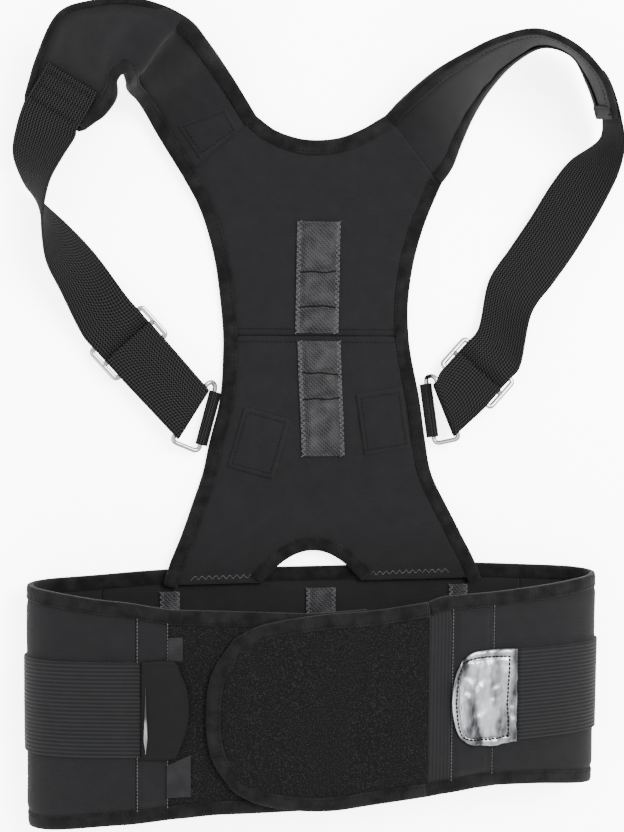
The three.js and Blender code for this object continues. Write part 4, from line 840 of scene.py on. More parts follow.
class BRACE_OT_bands(bpy.types.Operator):
    """Ribbed elastic side bands and the two pull tabs"""
    bl_idname = "brace.bands"
    bl_label = "Elastic bands and tabs"

    def execute(self, context):
        looks = Looks()
        lift = FOAM / 2 + CLEAR / 2 + BAND_THICK / 2
        bands = (("right", RIGHT_BAND_END, 1, lap_right), ("left", LEFT_BAND_END, -1, lap_left))
        width = lambda _s: (-BAND_WIDTH / 2, BAND_WIDTH / 2)
        for name, x, side, lap in bands:
            a, b = around(side * BELT_HALF * BAND_ROOT, False), around(x + side * TAB_GAP, True)
            P = wall_grid(a, b, steps(BAND_WIDTH, BAND_STEP), lap, width, 3.0)

            def ribs(i, j, u, v, d):
                half = BAND_THICK / 2 + 0.07 * math.sin(2 * math.pi * v / RIB_PITCH)
                return half, half
            sheet(f"elastic_band_{name}_ribs", P, ribs, looks["elastic"], "ribbed_elastic",
                  (f"elastic_band_{name}",), lift=-side * lift, bend=soft(34, 0.3, 9.0))
        self.slips(looks)
        self.tab("right", RIGHT_BAND_END, TAB_LENGTH, -1, lap_right, "silver", looks)
        self.tab("left", LEFT_BAND_END, LEFT_TAB_LENGTH, 1, lap_left, "black", looks)
        return {"FINISHED"}

    def slips(self, looks):
        """What shows of the left tab's silver side, and two ends of plain lining beside it"""
        for name, x, y, w, h, rise, kind, slot in SLIPS:
            lower, P = name == "lining_end_lower", []
            for u in steps(w, 0.6):
                lift, row = lap_left(wall_at(x + (u - 0.5) * w)[0].x) + rise, []
                for v in steps(h, 1.0):
                    taper = max((1 - v) * ease(0, 0.25, v) * 1.3, 0.06) if kind == "silver" else 1.0
                    q, n = wall_at(x + (u - 0.5) * w * taper)
                    cut = 0.4 * (1 - u) if lower else 0.0
                    high = (mix(0, 1 - cut * 0.6, v) - 0.5) * h + (0.3 * u if cut else 0)
                    row.append(V(q.x + n.x * lift, y + high, q.z + n.z * lift))
                P.append(row)
            sheet(name, P, lambda i, j, u, v, d: (SLIP_HALF, SLIP_HALF), looks[kind], slot)

    def tab(self, name, x0, length, towards, lap, kind, looks):
        """Pull tab with a rounded end; the right one has a stitched border"""
        end, h, slot = x0 + towards * length, TAB_HEIGHT / 2, kind + "_leatherette"
        straight = lambda v: V(x0, mix(-h, h, v))

        def round_(v):
            a = mix(-0.5, 0.5, v) * math.pi * TAB_ARC
            high = math.sin(a) / math.sin(TAB_ARC / 2 * math.pi) * h * 0.84
            return V(end - towards * (1 - math.cos(a)) * TAB_ROUND, high)
        rim = lambda sy: catmull([V(x0, sy * h), V(mix(x0, end, 0.45), sy * h * 1.02),
                                  V(mix(x0, end, 0.72), sy * h * 0.97), round_(1 if sy > 0 else 0)])
        plan = coons(straight, round_, rim(-1), rim(1),
                     steps(length, TAB_STEP), steps(TAB_HEIGHT, TAB_STEP))
        P = wrapped(plan, lap)
        lift = FOAM / 2 + CLOTH + CLEAR + TAB_THICK / 2
        border, depth, crease = (5.2, 1.0, 1.9) if towards < 0 else (3.2, 0.2, 0.35)

        def height(u, v, d):
            near = min(d)
            edge = 0.35 + 0.65 * ease(0, 1.6, near)
            groove = depth * math.exp(-((near - border) / 0.8) ** 2)
            crown = 0.8 * ease(border, border + 9, near)
            folds = noise.noise(V(u / 11, v / 13, 4.0)), noise.noise(V(u / 4, v / 5, 9.0))
            crown += crease * folds[0] + 0.4 * crease * folds[1]
            return TAB_THICK / 2 * edge - groove + crown, TAB_THICK / 2 * edge

        def halves(i, j, u, v, d):
            face, flat = height(u, v, d)
            return (face, flat) if towards < 0 else (flat, face)
        sheet(f"pull_tab_{name}_leather", P, halves, looks[kind], slot, (f"pull_tab_{name}",),
              lift=towards * lift)
        if towards > 0:
            return
        # One row of stitches in the groove round the right tab
        N, (A, C) = normals(P), spans(P)
        nu, nv, line, k = len(P), len(P[0]), [], max(1, round(border / TAB_STEP))
        ring = ([(i, k) for i in range(k, nu - k)] + [(nu - 1 - k, j) for j in range(k, nv - k)]
                + [(i, nv - 1 - k) for i in range(nu - 1 - k, k, -1)]
                + [(k, j) for j in range(nv - 1 - k, k - 1, -1)])
        for i, j in ring:
            u, v = A[i][j], C[i][j]
            top = height(u, v, (u, A[-1][j] - u, v, C[i][-1] - v))[0]
            line.append(P[i][j] + N[i][j] * towards * (lift + top + 0.1))
        stitches(f"pull_tab_{name}_stitches", [line], looks["thread"], slot, *TAB_SEW)


# Back panel: height, left and right half width of its sides
PANEL_SIDE = [
    (0, 1.67, 1.81), (0.05, 1.605, 1.72), (0.11, 1.5, 1.58), (0.19, 1.37, 1.405), (0.27, 1.25, 1.245),
    (0.35, 1.175, 1.175), (0.46, 1.06, 1.1), (0.57, 1.03, 1), (0.62, 1.03, 0.97), (0.7, 1.06, 0.96),
    (0.8, 1.12, 1.015), (0.88, 1.21, 1.105), (0.94, 1.31, 1.195), (1, 1.46, 1.3)]


def _side(key, sign):
    return catmull([V(PANEL_MID_X + sign * row[key] * WAIST_HALF, mix(HEM_Y, PRONG_Y, row[0]))
                    for row in PANEL_SIDE])


left_side, right_side = _side(1, -1), _side(2, 1)


def side_at(curve, y):
    return halve(0.0, 1.0, lambda t: curve(t).y > y)


HEM_Z = FOAM / 2 + 2 * BIND_HALF + CLEAR


def panel_z(y):
    fall = ease(HEM_Y + ARCH_HEIGHT + REACH, HEM_Y + ARCH_HEIGHT + 5 * REACH, y)
    return mix(HEM_Z, BIND_HALF, fall) + PRONG_RISE * ease(PRONG_Y - 35, PRONG_Y + 40, y)


def laid(p):
    return V(p.x, p.y, panel_z(p.y))


NECK = [V(a * NECK_HALF, NECK_Y + u * NECK_DEPTH) for a, u in (
    (-1, 0.9), (-0.72, 0.37), (-0.4, 0.08), (-0.1, 0), (0.28, 0.13), (0.61, 0.49), (0.98, 1.1))]
neck_curve = catmull(NECK)
PRONG, ARCH = 0.29, 0.33
LEFT_CORNER, RIGHT_CORNER = left_side(1), right_side(1)


def panel_top(u):
    if u < PRONG:
        return LEFT_CORNER.lerp(NECK[0], u / PRONG)
    if u > 1 - PRONG:
        return NECK[-1].lerp(RIGHT_CORNER, (u - 1 + PRONG) / PRONG)
    return neck_curve((u - PRONG) / (1 - 2 * PRONG))


def panel_foot(u):
    a, b = V(left_side(0).x, HEM_Y), V(right_side(0).x, HEM_Y)
    if u < ARCH:
        return a.lerp(V(ARCH_X - ARCH_HALF, HEM_Y), u / ARCH)
    if u > 1 - ARCH:
        return V(ARCH_X + ARCH_HALF, HEM_Y).lerp(b, (u - 1 + ARCH) / ARCH)
    k = mix(-1, 1, (u - ARCH) / (1 - 2 * ARCH))
    return V(ARCH_X + k * ARCH_HALF, HEM_Y + ARCH_HEIGHT * (1 - k * k))


def panel_grid(us, vs, foot, top, y0, y1):
    left = lambda v: left_side(side_at(left_side, mix(y0, y1, v)))
    right = lambda v: right_side(side_at(right_side, mix(y0, y1, v)))
    return [[laid(p) for p in row] for row in coons(left, right, foot, top, us, vs)]


def cross(gap):
    return lambda u: left_side(side_at(left_side, SEAM_Y + gap)).lerp(
        right_side(side_at(right_side, SEAM_Y + gap)), u)


def corner_steps(corner, length):
    """Even steps that meet the two corners exactly"""
    side, mid = steps(corner * length), steps((1 - 2 * corner) * length)
    return ([corner * k for k in side[:-1]] + [mix(corner, 1 - corner, k) for k in mid]
            + [mix(1 - corner, 1, k) for k in side[1:]])


def round_trip(at, low, high, rise):
    """Closed line round a rectangle of a patch's own map, a little over its face"""
    corners = [low, (high[0], low[1]), high, (low[0], high[1]), low]
    line = [at(mix(a, c, t / 8), mix(b, d, t / 8)) + V(0, 0, rise)
            for (a, b), (c, d) in zip(corners, corners[1:]) for t in range(8)]
    return line + [line[0]]


# Ends of each hem's seam: x from and to, y from and to
HEMS = ((-84, -36, 74.5, 74.5), (31, 90, 74.5, 75.5))
# Sunk seam across the panel: rows beside it, and their share of its width
SEAM_SIDES, SEAM_SHARE = (-4.2, 4.2), (0.08, 0.92)
# Magnet strips: x below and above, y from and to, and the creases between magnets
MAGNET_STRIPS = (
    ("magnet_strip_upper", -0.02, -0.01, 1.0065, 1.321, (0.45, 0.76)),
    ("magnet_strip_lower", 0.062, 0.002, 0.657, 0.985, (0.28, 0.5)))
BELT_STRIP_X, BELT_STRIP_THICK = 2.9, 2.4
# Anchor patches: place on the panel and turn
PATCHES = (("anchor_patch_left", -0.645, 0.696, -16), ("anchor_patch_right", 0.727, 0.756, 8.5))


class BRACE_OT_panel(bpy.types.Operator):
    """Back panel with its bindings, pockets and patches"""
    bl_idname = "brace.panel"
    bl_label = "Back panel"

    def execute(self, context):
        looks = Looks()
        width = 2.4 * WAIST_HALF
        upper_us, lower_us = corner_steps(PRONG, width), corner_steps(ARCH, width)
        upper = panel_grid(upper_us, steps(105), cross(CLEAR / 2), panel_top, SEAM_Y + CLEAR / 2, PRONG_Y)
        lower = panel_grid(lower_us, steps(SEAM_Y - HEM_Y), panel_foot, cross(-CLEAR / 2), HEM_Y,
                           SEAM_Y - CLEAR / 2)
        swell = context.scene.brace.swell / MM
        prong = len(steps(PRONG * width)) - 1
        for name, P, bound, seam in (("back_panel_upper", upper, (1, 1, 0, 1), 2),
                                     ("back_panel_lower", lower, (1, 1, 1, 0), 3)):
            base = foam_depth(PANEL, bound)

            def halves(i, j, u, v, d, base=base, seam=seam, last=len(P) - 1):
                out = ease(0, 3, prong - min(i, last - i)) if seam == 2 else 0.0
                down, up = base(i, j, u, v, (d[0], d[1], d[2], d[3] + 20 * out))
                near = min(d[0], d[1])
                pucker = 0.35 * noise.noise(V(v / 6, 4.4 * seam)) * math.exp(-max(near - REACH, 0) / 7)
                sink = 1.0 * math.exp(-(d[seam] / 1.6) ** 2)
                return down, max(up - sink + pucker, 0.5)
            sheet(name + "_cloth", P, halves, looks["jersey"], "foam_jersey", (name,),
                  bend=soft(22, swell, 2.0), pad=0.5)
        for name, side in (("left_side_binding", "u0"), ("right_side_binding", "u1")):
            run = grid_edge(lower, side)[:-1] + grid_edge(upper, side)[1:]
            binding(name + "_tape", run, (name,), looks)
        neck, foot = grid_edge(upper, "v1")[prong:-prong], grid_edge(lower, "v0")
        binding("neck_binding_tape", neck, ("neck_binding",), looks)
        corner = len(steps(ARCH * width)) - 1
        binding("arch_binding_tape", foot[corner:-corner], ("arch_binding",), looks, CLEAR)
        self.seams(looks)
        self.pockets(looks)
        self.patches(looks)
        return {"FINISHED"}

    def seams(self, looks):
        z = PANEL / 2 + 0.3
        left, right = (cross(0)(share) for share in SEAM_SHARE)
        rows = []
        for dy in SEAM_SIDES:
            rows.append([laid(left.lerp(right, k / 80) + V(0, dy)) + V(0, 0, z) for k in range(81)])
        stitches("panel_seam_stitches", rows, looks["thread"], "foam_jersey")
        hems = []
        for x0, x1, y0, y1 in HEMS:
            line = [laid(V(mix(x0, x1, k / 40), mix(y0, y1, k / 40))) for k in range(41)]
            hems.append(zigzag([p + V(0, 0, EDGE / 2 + 0.35) for p in line], V(0, 1)))
        stitches("hem_zigzag", hems, looks["light_thread"], "foam_jersey", *HEM_SEW)
        seam = [laid(cross(0)(mix(0.02, 0.98, k / 80))) for k in range(81)]
        stitches("panel_seam_thread", [seam, [p + V(0, 0, 0.8) for p in seam]], looks["thread"],
                 "foam_jersey", *SEAM_SEW)

    def pocket(self, name, x0, x1, width, y0, y1, z, thick, cuts, looks):
        us, vs = steps(y1 - y0, 0.9), steps(width, 0.9)
        P = [[V(mix(x0, x1, u) + (v - 0.5) * width, mix(y0, y1, u), z(mix(y0, y1, u))) for v in vs]
             for u in us]
        P.reverse()

        def halves(i, j, u, v, d):
            sway = 1.5 * noise.noise(V(v / 9, thick, 2.0))
            ends = min([abs(u + sway - cut * (y1 - y0)) for cut in cuts] + [d[0], d[1]])
            lift = ease(0.3, 4.5, ends) * ease(2.5, 6.5, min(d[2], d[3]))
            wave = 0.35 * noise.noise(V(u / 7, v / 5, thick))
            return 0, CLOTH + (thick - CLOTH) * lift * (1 + 0.1 * wave) + 0.25 * wave * lift
        sheet(name + "_mesh", P, halves, looks["mesh"], "pocket_mesh", (name,), lift=CLEAR)
        side, rows = V(1, 0), []
        over = lambda y, rise: z(y) + CLEAR + CLOTH + rise
        for s in (-1, 1):
            line = [V(mix(x0, x1, u) + s * (width / 2 - 1.4), mix(y0, y1, u), over(mix(y0, y1, u), 0.15))
                    for u in steps(y1 - y0, 4)]
            rows.append(zigzag(line, side, 2.6, 1.7))

        def crease(cut, v):
            y = mix(y1, y0, cut)
            wave = noise.noise(V(v * 3, cut * 9, 1.0))
            return V(mix(x1, x0, cut) + v * (width - 6), y + wave, over(y, 0.35))
        if cuts:
            folds = [[crease(cut, k / 12 - 0.5) for k in range(13)] for cut in cuts]
            stitches(name + "_creases", folds, looks["thread"], "pocket_mesh", *CREASE_SEW)
        stitches(name + "_zigzag", rows, looks["light_thread"], "pocket_mesh", *STRIP_SEW)

    def pockets(self, looks):
        top = lambda y: panel_z(y) + PANEL / 2
        for name, x0, x1, y0, y1, cuts in MAGNET_STRIPS:
            self.pocket(name, x0 * WAIST_HALF, x1 * WAIST_HALF, MAGNET_WIDTH, y0 * SEAM_Y, y1 * SEAM_Y, top,
                        MAGNET_THICK, cuts, looks)
        reach = BELT_HEIGHT / 2 - REACH - 3
        flat = lambda _y: FOAM
        self.pocket("belt_magnet_strip", BELT_STRIP_X, BELT_STRIP_X, BELT_STRIP, -reach, reach, flat,
                    BELT_STRIP_THICK, (), looks)
        for name, x in (("back_casing_left", -BACK_CASING), ("back_casing_right", BACK_CASING)):
            self.pocket(name, x, x, BACK_CASING_WIDTH, -reach, reach, flat, 2 * CLOTH, (), looks)

    def patches(self, looks):
        for name, x, y, turn in PATCHES:
            x, y = x * WAIST_HALF, y * SEAM_Y
            c, s = math.cos(math.radians(turn)), math.sin(math.radians(turn))

            def at(u, v):
                a, b = u * PATCH_WIDTH, v * PATCH_HEIGHT
                q = y + a * s + b * c
                return V(x + a * c - b * s, q, panel_z(q) + PANEL / 2)
            P = [[at(u - 0.5, v - 0.5) for v in steps(PATCH_HEIGHT, 1.2)] for u in steps(PATCH_WIDTH, 1.2)]

            def halves(i, j, u, v, d):
                near = min(d)
                puff = 0.5 * ease(3, 9, near) + 0.3 * noise.noise(V(u / 6, v / 6, x)) * ease(1, 4, near)
                groove = 0.3 * math.exp(-((near - PATCH_SEAM) / 0.8) ** 2)
                return 0, CLOTH * (0.4 + 0.6 * ease(0, 1.2, near)) + puff - groove
            sheet(name + "_cloth", P, halves, looks["jersey"], "foam_jersey", (name,), lift=CLEAR)
            k, m = 0.5 - PATCH_SEAM / PATCH_WIDTH, 0.5 - PATCH_SEAM / PATCH_HEIGHT
            line = round_trip(at, (-k, -m), (k, m), CLEAR + CLOTH + 0.05)
            stitches(name + "_stitches", [line], looks["thread"], "foam_jersey", *PANEL_SEW)


# Shoulder loops: out, up and rise of each place, then turn, tilt and, for pads, width
LEFT_PAD = [
    (0.137, 0.346, 0.24, 35, 14, 1), (0.209, 0.509, 0.36, 36, 24, 1), (0.269, 0.607, 0.55, 37, 28, 1),
    (0.339, 0.694, 0.77, 46, 24, 0.98), (0.407, 0.765, 0.93, 63, 10, 0.84),
    (0.51, 0.83, 0.98, 86, -6, 0.76), (0.616, 0.78, 0.96, 106, -13, 0.87),
    (0.699, 0.664, 0.9, 122, -14, 1.06), (0.785, 0.411, 0.74, 139, -17, 0.93),
    (0.828, 0.295, 0.67, 144, -17, 0.81), (0.869, 0.186, 0.6, 149, -18, 0.7)]
RIGHT_PAD = [
    (0.052, 0.127, 0.21, 137, 18, 1), (0.102, 0.294, 0.33, 147, 33, 1), (0.184, 0.5, 0.45, 152, 46, 1),
    (0.294, 0.699, 0.53, 162, 56, 1), (0.437, 0.891, 0.6, 174, 62, 0.98), (0.611, 1, 0.655, 186, 66, 0.97),
    (0.794, 0.897, 0.655, 197, 70, 0.93), (0.917, 0.656, 0.62, 216, 78, 0.86),
    (0.974, 0.46, 0.57, 225, 80, 0.72), (1, 0.324, 0.52, 244, 81, 0.6)]
LEFT_WEB = [
    (0.906, -0.02, 0.6, 168, -18), (0.949, 0.06, 0.52, 172, -35), (0.969, 0.133, 0.465, 159, -55),
    (0.963, 0.202, 0.41, 134, -64), (0.928, 0.27, 0.35, 90, -64), (0.857, 0.371, 0.27, 62, -44),
    (0.752, 0.476, 0.21, 49, -31)]
RIGHT_WEB = [
    (1.045, -0.05, 0.47, -75, 78), (0.964, 0.048, 0.38, -19, 48), (0.894, 0.15, 0.29, -17, 20),
    (0.767, 0.318, 0.22, -36, 14), (0.649, 0.441, 0.23, -41, 24), (0.533, 0.56, 0.25, -42, 32)]
ROOT_PATCH = ((-93.7, 366.6), (-62.8, 377.8), (-55, 365.3), (-79.5, 346.7))    # its corners in turn
SIDES = {
    "left": {
        "sign": -1, "crest": 0.5, "pad": LEFT_PAD, "web": LEFT_WEB, "side": left_side, "anchor": 0.76,
        "bar": 58, "tilt": 15, "slider": (1.28, 132, 50, 0, 0.147), "arm": LEFT_CORNER, "neck": NECK[0]},
    "right": {
        "sign": 1, "crest": 0, "pad": RIGHT_PAD, "web": RIGHT_WEB, "side": right_side, "anchor": 0.783,
        "bar": -67, "tilt": 42, "slider": (0.675, 47, -55, 12, 0.207), "arm": RIGHT_CORNER,
        "neck": NECK[-1]},
}


def line_dir(turn, tilt):
    a, b = math.radians(turn), math.radians(tilt)
    return V(math.cos(a) * math.cos(b), math.sin(a) * math.cos(b), math.sin(b))


def rails(stops):
    return (catmull([c - e * w / 2 for c, e, w in stops]), catmull([c + e * w / 2 for c, e, w in stops]))


def ribbon_grid(stops, step, across):
    a, b = rails(stops)
    n, run = 600, [0.0]
    for k in range(n):
        run.append(run[-1] + max((a(k / n) - a((k + 1) / n)).length, (b(k / n) - b((k + 1) / n)).length))
    rows, k = [], 0
    for u in steps(run[-1], step):
        s = u * run[-1]
        while k < n - 1 and run[k + 1] < s:
            k += 1
        t = (k + (s - run[k]) / (run[k + 1] - run[k])) / n
        p, q = a(t), b(t)
        rows.append([p.lerp(q, v) for v in across])
    return rows


class BRACE_OT_loops(bpy.types.Operator):
    """Shoulder pads, webbing, sliders, rings and anchor loops"""
    bl_idname = "brace.loops"
    bl_label = "Shoulder loops"

    def execute(self, context):
        looks = Looks()
        for name, side in SIDES.items():
            self.loop(name, side, looks)
        return {"FINISHED"}

    def loop(self, name, side, looks):
        sign, arm, neck = side["sign"], laid(side["arm"]), laid(side["neck"])
        root, root_e = (arm + neck) / 2, neck - arm
        root_t = V(-root_e.y * -sign, root_e.x * -sign).normalized()

        def place(out, up, rise, turn, tilt, wide):
            at = V(mix(root.x, sign * LOOP_REACH, out), root.y + up * LOOP_HEAD, rise * LOOP_RISE)
            return at, line_dir(turn, tilt), wide * PAD_WIDTH
        first = (root - root_t * ROOT_LAP, root_e.normalized(), root_e.length)
        P = ribbon_grid([first] + [place(*row) for row in side["pad"]], FINE, steps(PAD_WIDTH, 2.2))
        base = foam_depth(PAD, (0, 1, 1, 1), PAD_EDGE)

        def halves(i, j, u, v, d):
            down, up = base(i, j, u, v, d)
            near = min(d[1:])
            edge = math.exp(-max(near - REACH, 0) / 8) * ease(REACH - 2, REACH + 1, near)
            pucker = 0.7 * noise.noise(V(u / 7, 8.0 + sign)) * edge
            crown = 0.7 * ease(REACH, PAD_WIDTH / 2, min(d[2], d[3]))
            return down + crown * 0.3 + 0.4 * pucker, up + crown * 0.3 + pucker
        crest = spans(P)[0][-1][len(P[0]) // 2] * side["crest"]

        def fold(p, u, v):
            """Slow waves, and on the left pad the crest where it doubles over itself"""
            wave = 0.8 * noise.noise(V(u / 17, v / 40, sign)) * ease(20, 60, u)
            if sign > 0:
                return wave
            across = clamp(v / PAD_WIDTH)
            ridge = 4.6 * ease(crest - 5, crest, u) * (1 - ease(crest, crest + 34, u))
            hollow = 4.6 * math.exp(-((u - crest + 12) / 8) ** 2)
            return wave - (ridge - hollow) * math.sin(math.pi * clamp(across, 0.04, 0.96))
        sheet(f"{name}_shoulder_pad_cloth", P, halves, looks["jersey"], "foam_jersey",
              (f"{name}_shoulder_pad",), bend=fold, pad=0.6)
        if sign < 0:
            self.root_patch(P, looks)
        rim = grid_edge(P, "v0")[:-1] + grid_edge(P, "u1") + list(reversed(grid_edge(P, "v1")[:-1]))
        turned = [len(P) + len(P[0]) - 3, crest] if sign < 0 else None
        self.rim(f"{name}_pad_binding", rim, looks, turned)

        curve = side["side"]
        t0 = side_at(curve, side["anchor"] * SEAM_Y)
        point = curve(t0)
        slope = (curve(t0 + 0.002) - curve(t0 - 0.002)).normalized()
        out = V(sign * slope.y, -sign * slope.x)
        bar = laid(point) + out * (3 * CLEAR + TAPE + ANCHOR_LEG)
        bar.z = BIND_HALF + WIRE / 2 + ANCHOR_THICK
        self.anchor(name, bar, slope, out, looks)
        far_dir = line_dir(side["bar"], 0)
        mean = slope * (1 if slope.dot(far_dir) > 0 else -1) + far_dir
        ring_out = V(mean.y, -mean.x).normalized()
        if ring_out.dot(out) < 0:
            ring_out.negate()
        tilt = math.radians(side["tilt"])
        ring_out = ring_out * math.cos(tilt) + V(0, 0, math.sin(tilt))
        far = bar + ring_out * RING_WIDTH
        if slope.dot(far_dir) < 0:
            far_dir.negate()
        half = RING_LENGTH / 2
        corners = [bar - slope * half, bar + slope * half, far + far_dir * half, far - far_dir * half]
        self.ring(name, corners, looks)

        gap, turn, bar_turn, bar_tilt, rise = side["slider"]
        hub = far + line_dir(turn, 0) * gap * RING_LENGTH
        hub.z = rise * LOOP_RISE
        run = (far - hub).normalized()
        line = line_dir(bar_turn, bar_tilt)
        line = (line - run * line.dot(run)).normalized()
        up = line.cross(run).normalized()
        if up.z < 0:
            up.negate()
        x = run.cross(up).normalized()
        self.slider(name, hub, x, run, up, looks)

        # Webbing: on the pad, through the slider, round the ring's far bar and back
        coarse = ribbon_grid([first] + [place(*row) for row in side["pad"]], 7, [0, 0.25, 0.5, 0.75, 1])
        N, last = normals(coarse), len(coarse) - 1
        mid_of = lambda i: (coarse[i][0] + coarse[i][-1]) / 2
        sewn, start = 0.0, last
        while sewn < WEB_LAP:
            sewn += (mid_of(start) - mid_of(start - 1)).length
            start -= 1
        stops = []
        square = (coarse[last][-1] - coarse[last][0]).normalized()
        for i in range(start, last + 1):
            e = (square - N[i][2] * square.dot(N[i][2])).normalized()
            stops.append((mid_of(i) - N[i][2] * (BIND_HALF + CLEAR + WEB / 2), e, WEB_WIDTH))
        for out_, down, rise, turn, tilt in side["web"]:
            c, e, _ = place(out_, 0, rise, turn, tilt, 1)
            c.y = mix(root.y, far.y, down)
            stops.append((c, e, WEB_WIDTH))
        flip = 1 if stops[-1][1].dot(x) > 0 else -1
        at = lambda a, h: (hub + run * a + up * h, x * flip, WEB_WIDTH)
        slot = (SLIDER_WIDTH - 3 * SLIDER_BAR) / 2
        slot_mid, bar2 = (SLIDER_BAR + slot) / 2, SLIDER_BAR + slot
        mid = SLIDER_BAR / 2
        stops += [at(-bar2 - LEAD, WEAVE), at(-bar2, WEAVE), at(-bar2 + mid, WEAVE), at(-slot_mid, 0),
                  at(-mid, -WEAVE), at(mid, -WEAVE), at(bar2, -WEAVE), at(bar2 + LEAVE, -WEAVE)]
        turn_r = WIRE / 2 + 2 * CLEAR + WEB / 2
        across = far_dir * (1 if far_dir.dot(stops[-1][1]) > 0 else -1)
        for a in (180, 150, 120, 90, 60, 30, 0):
            a = math.radians(a)
            stops.append((far + run * turn_r * math.sin(a) + up * turn_r * math.cos(a), across, WEB_WIDTH))
        stops += [at(bar2 + LEAVE, WEAVE), at(bar2, WEAVE), at(mid, WEAVE), at(-mid, WEAVE)]
        W = self.web_rows(stops)

        def web(i, j, u, v, d):
            selvedge = 0.5 + 0.5 * ease(0, 1.2, min(d[2], d[3]))
            return WEB / 2 * selvedge, WEB / 2 * selvedge
        sheet(f"{name}_webbing_strap", W, web, looks["webbing"], "webbing", (f"{name}_webbing",))
        NW = normals(W)
        A, _ = spans(W)
        rows = [i for i in range(len(W)) if A[i][10] < WEB_LAP + 2]
        lines = []
        for s in (1, -1):
            box = lambda i, j: W[i][j] + NW[i][j] * s * (WEB / 2 + 0.12)
            lo, hi, n = rows[2], rows[-2], len(W[0])
            for k in (lo + 1, (lo + hi) // 2, hi - 1):
                lines.append([box(k, j) for j in range(3, n - 3)])
            lines.append([box(i, 2) for i in range(lo, hi)] + [box(hi, j) for j in range(2, n - 2)]
                         + [box(i, n - 3) for i in range(hi, lo, -1)]
                         + [box(lo, j) for j in range(n - 3, 1, -1)])
        stitches(f"{name}_webbing_stitches", lines, looks["thread"], "webbing", *WEB_SEW)

    def root_patch(self, P, looks):
        """Stitched patch over the left pad's root, laid on the pad and the panel"""
        ground = [p for row in P[:40] for p in row]
        ground += [laid(V(x, y)) for x in range(-96, -46, 3) for y in range(336, 366, 3)
                   if (x + 67) * 0.62 - (y - 356) * 0.79 > 2]

        def level(x, y):
            near = sorted(((p.x - x) ** 2 + (p.y - y) ** 2 + 0.05, p.z) for p in ground)[:6]
            total = sum(1 / d for d, _ in near)
            return sum(z / d for d, z in near) / total
        a, b, c, e = (V(*corner) for corner in ROOT_PATCH)
        flat = lambda u, v: a.lerp(b, u).lerp(e.lerp(c, u), v)
        at = lambda u, v: V(flat(u, v).x, flat(u, v).y, level(flat(u, v).x, flat(u, v).y) + PAD / 2 + 0.5)
        G = [[at(u, v) for v in steps(24, 1.3)] for u in steps(32, 1.3)]

        def halves(i, j, u, v, d):
            near = min(d)
            fold = 0.9 * noise.noise(V(u / 3.5, v / 7, 2.2)) * ease(0.5, 3, near)
            fold *= 0.3 + 0.7 * ease(9, 0, v)
            deep = 0.5 * ease(0, 1.5, near) + 0.4 * ease(3, 8, near) + fold
            return (0.4, deep) if G[1][0].x > G[0][0].x and G[0][1].y > G[0][0].y else (deep, 0.4)
        sheet("pad_root_patch_left", G, halves, looks["jersey"], "foam_jersey")
        line = round_trip(at, (0.09, 0.09), (0.91, 0.91), 0.75)
        stitches("pad_root_patch_stitches", [line], looks["thread"], "foam_jersey", *ROOT_SEW)

    def rim(self, node_name, rim, looks, turned=None):
        """Binding round a pad; past the crest the outer side of a turned pad shows a short lip"""
        frames, run, shown = [], [rim[0]], [REACH]
        total = sum((b[0] - a[0]).length for a, b in zip(rim, rim[1:]))
        length = 0.0
        for k, (q, r) in enumerate(zip(rim, rim[1:])):
            length += (r[0] - q[0]).length
            if (r[0] - run[-1][0]).length > 1.0:
                run.append(r)
                lip = REACH
                if turned and k > turned[0]:
                    past = total - length - turned[1]
                    lip = mix(REACH, SHORT_LIP, ease(0, LIP_RUN, past))
                shown.append(lip)
        for p, n, q in run:
            e = (p - q).normalized()
            frames.append((p, (n - e * n.dot(e)).normalized(), e))
        names = (node_name + "_tape", node_name + "_stitches")
        tape(names, frames, shown, PAD_TAPE_WAVES, (node_name,), looks)

    def web_rows(self, stops):
        a, b = rails(stops)
        last, rows = len(stops) - 1, []
        for i in range(last):
            parts = max(2, round((stops[i][0] - stops[i + 1][0]).length / 1.6))
            rows += [(i + k / parts) / last for k in range(parts)]
        rows.append(1.0)
        across = steps(WEB_WIDTH, 1.6)
        return [[a(t).lerp(b(t), v) for v in across] for t in rows]

    def anchor(self, name, bar, slope, out, looks):
        inner = WIRE / 2 + CLEAR
        outer, slit, leg = inner + ANCHOR_THICK, CLEAR / 2, ANCHOR_LEG - CLEAR
        arc = lambda r, a, b: [(r * math.cos(t), r * math.sin(t)) for t in
                               (math.radians(mix(a, b, k / 14)) for k in range(15))]
        section = arc(outer, WRAP_OUT, -WRAP_OUT) + [(-leg, -slit - ANCHOR_THICK), (-leg, -slit)]
        section += arc(inner, -WRAP_IN, WRAP_IN) + [(-leg, slit), (-leg, slit + ANCHOR_THICK)]
        path = [bar + slope * k * ANCHOR_WIDTH / 2 for k in (-1, -0.94, -0.5, 0, 0.5, 0.94, 1)]
        rings = [[p + out * u + V(0, 0, v) for u, v in section] for p in path]
        piece = tube(f"{name}_anchor_loop_strap", path, rings, looks["webbing"], "webbing",
                     (f"{name}_anchor_loop",))
        piece.data.polygons.foreach_set("use_smooth", [len(p.vertices) == 4 for p in piece.data.polygons])

